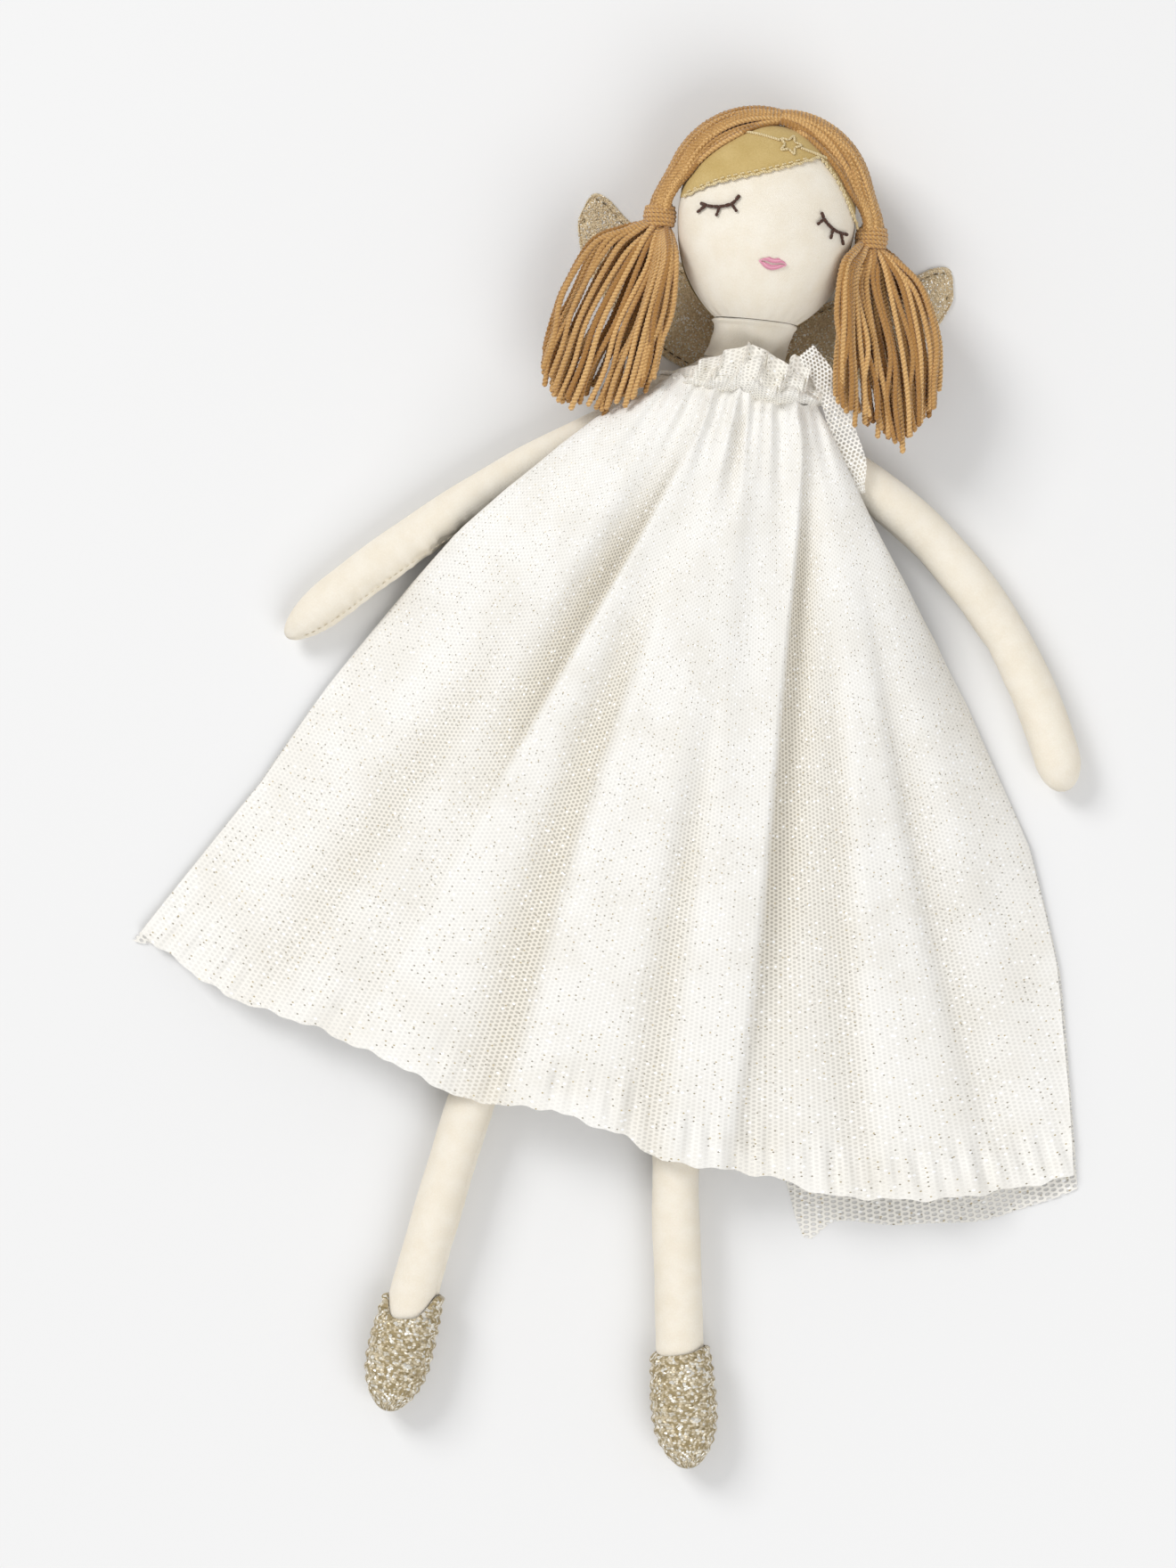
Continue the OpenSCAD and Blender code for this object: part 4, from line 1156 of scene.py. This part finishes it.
def frill_piece(name, look):
    """The gathered net that stands from the neckline towards the chin, in three ruffled rows."""
    shape = Shape()
    u = np.linspace(0, 1, 240)[None, :]
    v = np.linspace(0, 1, 30)[:, None]
    x = mix(FRILL_LEFT, FRILL_RIGHT, u)
    low = np.interp(x, *FRILL_LOW)
    high = np.interp(x, *FRILL_HIGH)
    fall = 10.0 * np.abs((x - 3.0) / 27.0) ** 2.2
    for row, (share, lift, seed) in enumerate(((1.0, 0.0, 71), (0.72, 1.6, 72), (0.45, 2.6, 73))):
        tall = (high - low) * share + 0.8 * ripple(x, 0 * x, seed, 8.0)
        waves = np.sin(x * 0.62 + 1.7 * np.sin(x * 0.21 + seed)) + 0.5 * np.sin(x * 1.35 + seed)
        bulge = (2.6 + lift) * np.sin(math.pi * v) ** 0.8
        points = join(
            x + 1.5 * v * np.cos(x * 0.8 + seed),
            low + tall * v,
            33.5 + 3.0 * v - fall + bulge + (0.5 + 1.2 * v) * waves,
        )
        coords = join(u * 75.0, v * 16.0 + 40.0 * row)
        shape.grid(points, coords)
    return shape.build(name, look)


def shoulder_trim(name, look):
    """The loose net edge over one shoulder."""
    line = smooth_line(SHOULDER_LINE, 160)
    along = unit(np.gradient(line, axis=0))
    out = np.stack([-along[:, 1], along[:, 0]], axis=1)
    v = np.linspace(-1, 1, 22)
    run = np.linspace(0, 1, 160)
    w = mix(3.6, 5.4, run) * (1 - 0.75 * ease((run - 0.78) / 0.22))
    flat = line[:, None] + (w[:, None] * v[None, :])[..., None] * out[:, None]
    run = run[:, None]
    waves = 0.9 * np.sin(run * 36 + v[None, :]) * np.abs(v)[None, :]
    z = mix(33.0, 25.6, ease(run * 1.15)) + waves + 0.5 * v[None, :]
    coords = join(run * 62.0, v[None, :] * 5.0)
    return grid_piece(name, look, join(flat[..., 0], flat[..., 1], z), coords)


def elastic_piece(name, look):
    """The covered elastic round the body just above the neckline."""
    t = np.array([(NECK_BASE_Y - ELASTIC_Y) / TORSO_LEN])
    half_w, half_d, middle = (float(v[0]) for v in torso_section(t))
    q = np.linspace(0, math.tau, 320)
    line = np.stack(
        [
            (half_w + 1.1) * np.cos(q),
            ELASTIC_Y + 0.15 * np.sin(q * 60),
            middle + (half_d + 1.1) * np.sin(q),
        ],
        axis=1,
    )
    e = angles(8)
    out = np.stack([np.cos(q), 0 * q, np.sin(q)], axis=1)
    bead = 0.66 + 0.12 * np.sin(q * 90)
    points = rings(line, bead[:, None], e, out[:, None], np.array([0.0, 1.0, 0.0]))
    coords = wrap_coords(1.0, e, q[:, None] * 30)
    return grid_piece(name, look, points, coords, closed=True)


def hip_piece(name, look):
    """The flat sewn strip between body and legs."""
    q = angles(40)
    t = np.linspace(0, 1, 90)
    x = mix(-HIP_STRIP_X, HIP_STRIP_X, t)
    swell = end_round(np.minimum(x + 28.9, 28.9 - x), 2.0) * (1 - 0.08 * (0.5 + 0.5 * np.sin(t * 70)))
    points = join(
        x[:, None],
        HIP_STRIP_Y + 1.95 * np.sign(np.cos(q)) * np.abs(np.cos(q)) ** 0.7 * swell[:, None],
        HIP_STRIP_Z + 3.9 * np.sign(np.sin(q)) * np.abs(np.sin(q)) ** 0.7 * swell[:, None],
    )
    coords = wrap_coords(3.0, q, x[:, None])
    return grid_piece(name, look, points, coords, closed=True)


class DollSettings(bpy.types.PropertyGroup):
    """Choices for the doll's looks."""

    pigtail_strands: IntProperty(name="Pigtail strands", default=57, min=20, max=90)
    crown_strands: IntProperty(name="Crown strands", default=48, min=24, max=90)
    hem_crumple: FloatProperty(name="Hem crumple", default=0.95, min=0.0, max=3.0)
    sky: FloatProperty(name="Sky strength", default=0.52, min=0.0, max=2.0)
    key: FloatProperty(name="Key light watts", default=79.0, min=0.0, max=400.0)


def settings():
    """The scene's doll settings."""
    return bpy.context.scene.doll_settings


LOOKS = {
    "cotton_skin": (cotton_look, "#f6efe1", "#efe5d2"),
    "hair_cloth": (cotton_look, "#d0b67b", "#c1a566"),
    "satin": (satin_look, "#f5f2ea", "#efeade"),
    "tulle": (tulle_look, "#f5f3ee", 0.78, 1.3),
    "loose_net": (tulle_look, "#f2efe8", 0.3, 1.5),
    "frill_net": (tulle_look, "#f4f0e6", 0.64, 1.3),
    "wing_glitter": (glitter_look, "#e4cfa9", "#f2e3c4", "#cfb891", 0.45),
    "shoe_glitter": (glitter_look, "#d5c7aa", "#fbf5e6", "#a3916a", 0.8),
    "yarn": (yarn_look, "#d9a866", "#f0c484", "#a3733a"),
    "dark_thread": (thread_look, "#54311f", "#371e13"),
    "pink_thread": (thread_look, "#f0b2c3", "#e08ca8"),
    "gold_thread": (thread_look, "#ead9b0", "#cdb37a"),
    "seam_thread": (thread_look, "#e6dcc6", "#d6c8aa"),
    "wing_thread": (thread_look, "#75664c", "#54472f"),
}


def look(name):
    """A material by name, made on first use."""
    title = f"doll_{name}"
    made = bpy.data.materials.get(title)
    if made is None:
        maker, *choices = LOOKS[name]
        made = maker(title, *choices)
    return made


class DOLL_OT_body(bpy.types.Operator):
    """Builds the stuffed body, neck and hip strip"""

    bl_idname = "doll.body"
    bl_label = "Body"

    def execute(self, context):
        torso = torso_piece("torso_cover", look("cotton_skin"))
        finish_piece(torso, "torso", ("torso_skin", "torso_stuffing"))
        neck = neck_piece("neck_cover", look("cotton_skin"))
        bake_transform(neck)
        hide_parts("neck")
        hip = hip_piece("hip_strip", look("cotton_skin"))
        finish_piece(hip, "hips", ("hip_seam",))
        return {"FINISHED"}


class DOLL_OT_limbs(bpy.types.Operator):
    """Builds the stuffed arms and legs and the glitter shoes"""

    bl_idname = "doll.limbs"
    bl_label = "Limbs and shoes"

    def execute(self, context):
        cotton = look("cotton_skin")
        for side, limb, seam, pucker, creases, seed in (
            ("left", ARM_LEFT, NEAR, 0.11, ARM_LEFT_CREASES, 101),
            ("right", ARM_RIGHT, math.radians(-35), 0.02, ARM_RIGHT_CREASES, 102),
        ):
            nodes = (f"arm_{side}_skin", f"arm_{side}_stuffing")
            arm = limb_piece(f"arm_{side}", limb, cotton, seam, pucker, creases, seed)
            finish_piece(arm, f"arm_{side}", nodes)
            thread = look("seam_thread")
            seams = seam_stitches(f"arm_{side}_seam", limb, thread, seam, 12, limb.length - 5)
            finish_piece(seams, f"arm_{side}")
        for side, limb, seam, pucker, creases, vamp, lean, seed in (
            ("left", LEG_LEFT, math.radians(160), 0.03, LEG_LEFT_CREASES, 8.5, 2.0, 103),
            ("right", LEG_RIGHT, math.radians(-20), 0.015, LEG_RIGHT_CREASES, 1.5, 0.6, 104),
        ):
            nodes = (f"leg_{side}_skin", f"leg_{side}_stuffing")
            leg = limb_piece(f"leg_{side}", limb, cotton, seam, pucker, creases, seed)
            finish_piece(leg, f"leg_{side}", nodes)
            shoe = shoe_piece(f"shoe_{side}_cover", limb, look("shoe_glitter"), vamp, lean)
            finish_piece(shoe, f"leg_{side}", (f"shoe_{side}",))
        return {"FINISHED"}


class DOLL_OT_head(bpy.types.Operator):
    """Builds the stuffed head, its cap and its embroidery"""

    bl_idname = "doll.head"
    bl_label = "Head and face"

    def execute(self, context):
        face = head_half("face", look("cotton_skin"), math.pi, 0.0, 51)
        finish_piece(face, "head", ("face_panel",))
        back = head_half("head_back", look("hair_cloth"), 0.0, -math.pi, 52)
        finish_piece(back, "head", ("head_back_panel", "head_stuffing"))
        for name, maker, finish, choices, nodes in (
            ("hair_cap_cloth", cap_piece, "hair_cloth", (), ("hair_cap",)),
            ("hairline_edge", hairline_trim, "gold_thread", (), ()),
            ("left_eye", eye_piece, "dark_thread", (LEFT_EYE, LEFT_LASHES, 5), ("left_eye_stitching",)),
            ("right_eye", eye_piece, "dark_thread", (RIGHT_EYE, RIGHT_LASHES, 6), ("right_eye_stitching",)),
            ("lips", lips_piece, "pink_thread", (), ("lips_stitching",)),
            ("headband", headband_piece, "gold_thread", (), ("headband_cord",)),
            ("star", star_piece, "gold_thread", (), ("headband_star",)),
        ):
            piece = maker(name, look(finish), *choices)
            finish_piece(piece, "head", nodes)
        return {"FINISHED"}


class DOLL_OT_hair(bpy.types.Operator):
    """Builds the yarn over the crown, the ties and the pigtails"""

    bl_idname = "doll.hair"
    bl_label = "Hair"

    def execute(self, context):
        chosen = settings()
        yarn = look("yarn")
        for name, side, ends, seed in (
            ("left", -1, LEFT_PIGTAIL_ENDS, 201),
            ("right", 1, RIGHT_PIGTAIL_ENDS, 202),
        ):
            crown = crown_piece(f"crown_{name}", yarn, side, chosen.crown_strands, seed)
            finish_piece(crown, "head", (f"hair_crown_{name}",))
            tie = tie_piece(f"tie_{name}", yarn, side, seed + 10)
            finish_piece(tie, "head", (f"pigtail_tie_{name}",))
            tail = pigtail_piece(f"tail_{name}", yarn, side, ends, chosen.pigtail_strands, seed + 20)
            finish_piece(tail, f"pigtail_{name}", (f"pigtail_{name}",))
        return {"FINISHED"}


class DOLL_OT_wings(bpy.types.Operator):
    """Builds the padded glitter wings"""

    bl_idname = "doll.wings"
    bl_label = "Wings"

    def execute(self, context):
        for name, side in (("left", -1), ("right", 1)):
            nodes = tuple(f"wing_{name}_{layer}" for layer in ("back_panel", "wadding", "front_panel"))
            wing = wing_piece(f"wing_{name}_cover", look("wing_glitter"), side)
            finish_piece(wing, f"wing_{name}", nodes)
            stitches = wing_stitches(f"wing_{name}_stitches", look("wing_thread"), side)
            finish_piece(stitches, f"wing_{name}")
        return {"FINISHED"}


class DOLL_OT_dress(bpy.types.Operator):
    """Builds the lined net dress, its frill and its gathered neckline"""

    bl_idname = "doll.dress"
    bl_label = "Dress"

    def execute(self, context):
        crumple = settings().hem_crumple
        front_net = dress_front(300, 420, 0.0, 0.0, crumple, 81)
        front_satin = dress_front(240, 360, 1.1, 9.0, crumple, 82)
        back_satin = dress_back(90, 140, 1.2, lining_drop, 83)
        back_net = dress_back(90, 140, 0.5, back_drop, 84)
        layers = (
            ("front_net", "tulle", front_net, "tulle", "dress_front_tulle"),
            ("front_satin", "satin", front_satin, "satin", "dress_front_lining"),
            ("back_satin", "satin", back_satin, "satin", "dress_back_lining"),
            ("back_net", "loose_net", back_net, "tulle", "dress_back_tulle"),
        )
        for name, finish, (points, coords, shade), slot, node in layers:
            piece = grid_piece(name, look(finish), points, coords, shade=shade)
            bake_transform(piece)
            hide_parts(node)
        frill = frill_piece("neck_ruffle", look("frill_net"))
        finish_piece(frill, "torso", ("neck_frill",))
        trim = shoulder_trim("shoulder_net", look("loose_net"))
        finish_piece(trim, "torso")
        elastic = elastic_piece("neck_elastic", look("satin"))
        finish_piece(elastic, "torso", ("neckline_elastic",))
        return {"FINISHED"}


class DOLL_OT_stage(bpy.types.Operator):
    """Builds the plain floor, the soft light and the camera"""

    bl_idname = "doll.stage"
    bl_label = "Stage"

    def execute(self, context):
        chosen = settings()
        scene = context.scene
        mesh = bpy.data.meshes.new("floor")
        corners = [(x * FLOOR_HALF, y * FLOOR_HALF, 0) for x, y in ((-1, -1), (1, -1), (1, 1), (-1, 1))]
        mesh.from_pydata(corners, [], [(0, 1, 2, 3)])
        floor_look = Look("floor", roughness=0.95, specular_ior_level=0.1)
        place = floor_look.node("ShaderNodeTexCoord", out="Object")
        grain = floor_look.noise(place, 3.0, 2.0)
        floor_look.drive("Base Color", floor_look.blend(grain, linear("#ebebeb"), linear("#eaeaea")))
        mesh.materials.append(floor_look.material)
        floor = bpy.data.objects.new("floor", mesh)
        scene.collection.objects.link(floor)
        world = bpy.data.worlds.new("sky")
        world.use_nodes = True
        light = world.node_tree.nodes["Background"].inputs
        light["Color"].default_value = (1.0, 1.0, 1.0, 1.0)
        light["Strength"].default_value = chosen.sky
        scene.world = world
        for name, spot, size, watts in (
            ("key", (-2.6, 1.5, 2.5), 1.6, chosen.key),
            ("fill", (1.4, -1.5, 2.3), 2.2, chosen.key * FILL_SHARE),
        ):
            lamp = bpy.data.lights.new(name, "AREA")
            lamp.energy = watts
            lamp.size = size
            holder = bpy.data.objects.new(name, lamp)
            holder.location = spot
            aim = Vector(LAMP_AIM) - holder.location
            holder.rotation_euler = aim.to_track_quat("-Z", "Y").to_euler()
            scene.collection.objects.link(holder)
        lens = bpy.data.cameras.new("camera")
        lens.lens = CAMERA_LENS
        lens.sensor_width = 36.0
        lens.clip_end = 20.0
        camera = bpy.data.objects.new("camera", lens)
        camera.location = CAMERA_SPOT
        camera.rotation_euler = (0.0, 0.0, CAMERA_TURN)
        scene.collection.objects.link(camera)
        scene.camera = camera
        scene.view_settings.view_transform = "Standard"
        return {"FINISHED"}


class DOLL_PT_panel(bpy.types.Panel):
    """Sidebar with the doll's choices and pieces"""

    bl_idname = "DOLL_PT_panel"
    bl_label = "Cloth fairy doll"
    bl_space_type = "VIEW_3D"
    bl_region_type = "UI"
    bl_category = "Doll"

    def draw(self, context):
        chosen = context.scene.doll_settings
        for name in ("pigtail_strands", "crown_strands", "hem_crumple", "sky", "key"):
            self.layout.prop(chosen, name)
        for piece in OPERATORS:
            self.layout.operator(piece.bl_idname)


OPERATORS = (
    DOLL_OT_body,
    DOLL_OT_limbs,
    DOLL_OT_head,
    DOLL_OT_hair,
    DOLL_OT_wings,
    DOLL_OT_dress,
    DOLL_OT_stage,
)


def register():
    """Registers the settings, operators and panel."""
    bpy.utils.register_class(DollSettings)
    for piece in OPERATORS:
        bpy.utils.register_class(piece)
    bpy.utils.register_class(DOLL_PT_panel)
    bpy.types.Scene.doll_settings = PointerProperty(type=DollSettings)


def unregister():
    """Takes the settings, operators and panel away again."""
    del bpy.types.Scene.doll_settings
    bpy.utils.unregister_class(DOLL_PT_panel)
    for piece in reversed(OPERATORS):
        bpy.utils.unregister_class(piece)
    bpy.utils.unregister_class(DollSettings)


def main():
    """Builds the whole scene."""
    register()
    bpy.ops.doll.body()
    bpy.ops.doll.limbs()
    bpy.ops.doll.head()
    bpy.ops.doll.hair()
    bpy.ops.doll.wings()
    bpy.ops.doll.dress()
    bpy.ops.doll.stage()


if __name__ == "__main__":
    main()
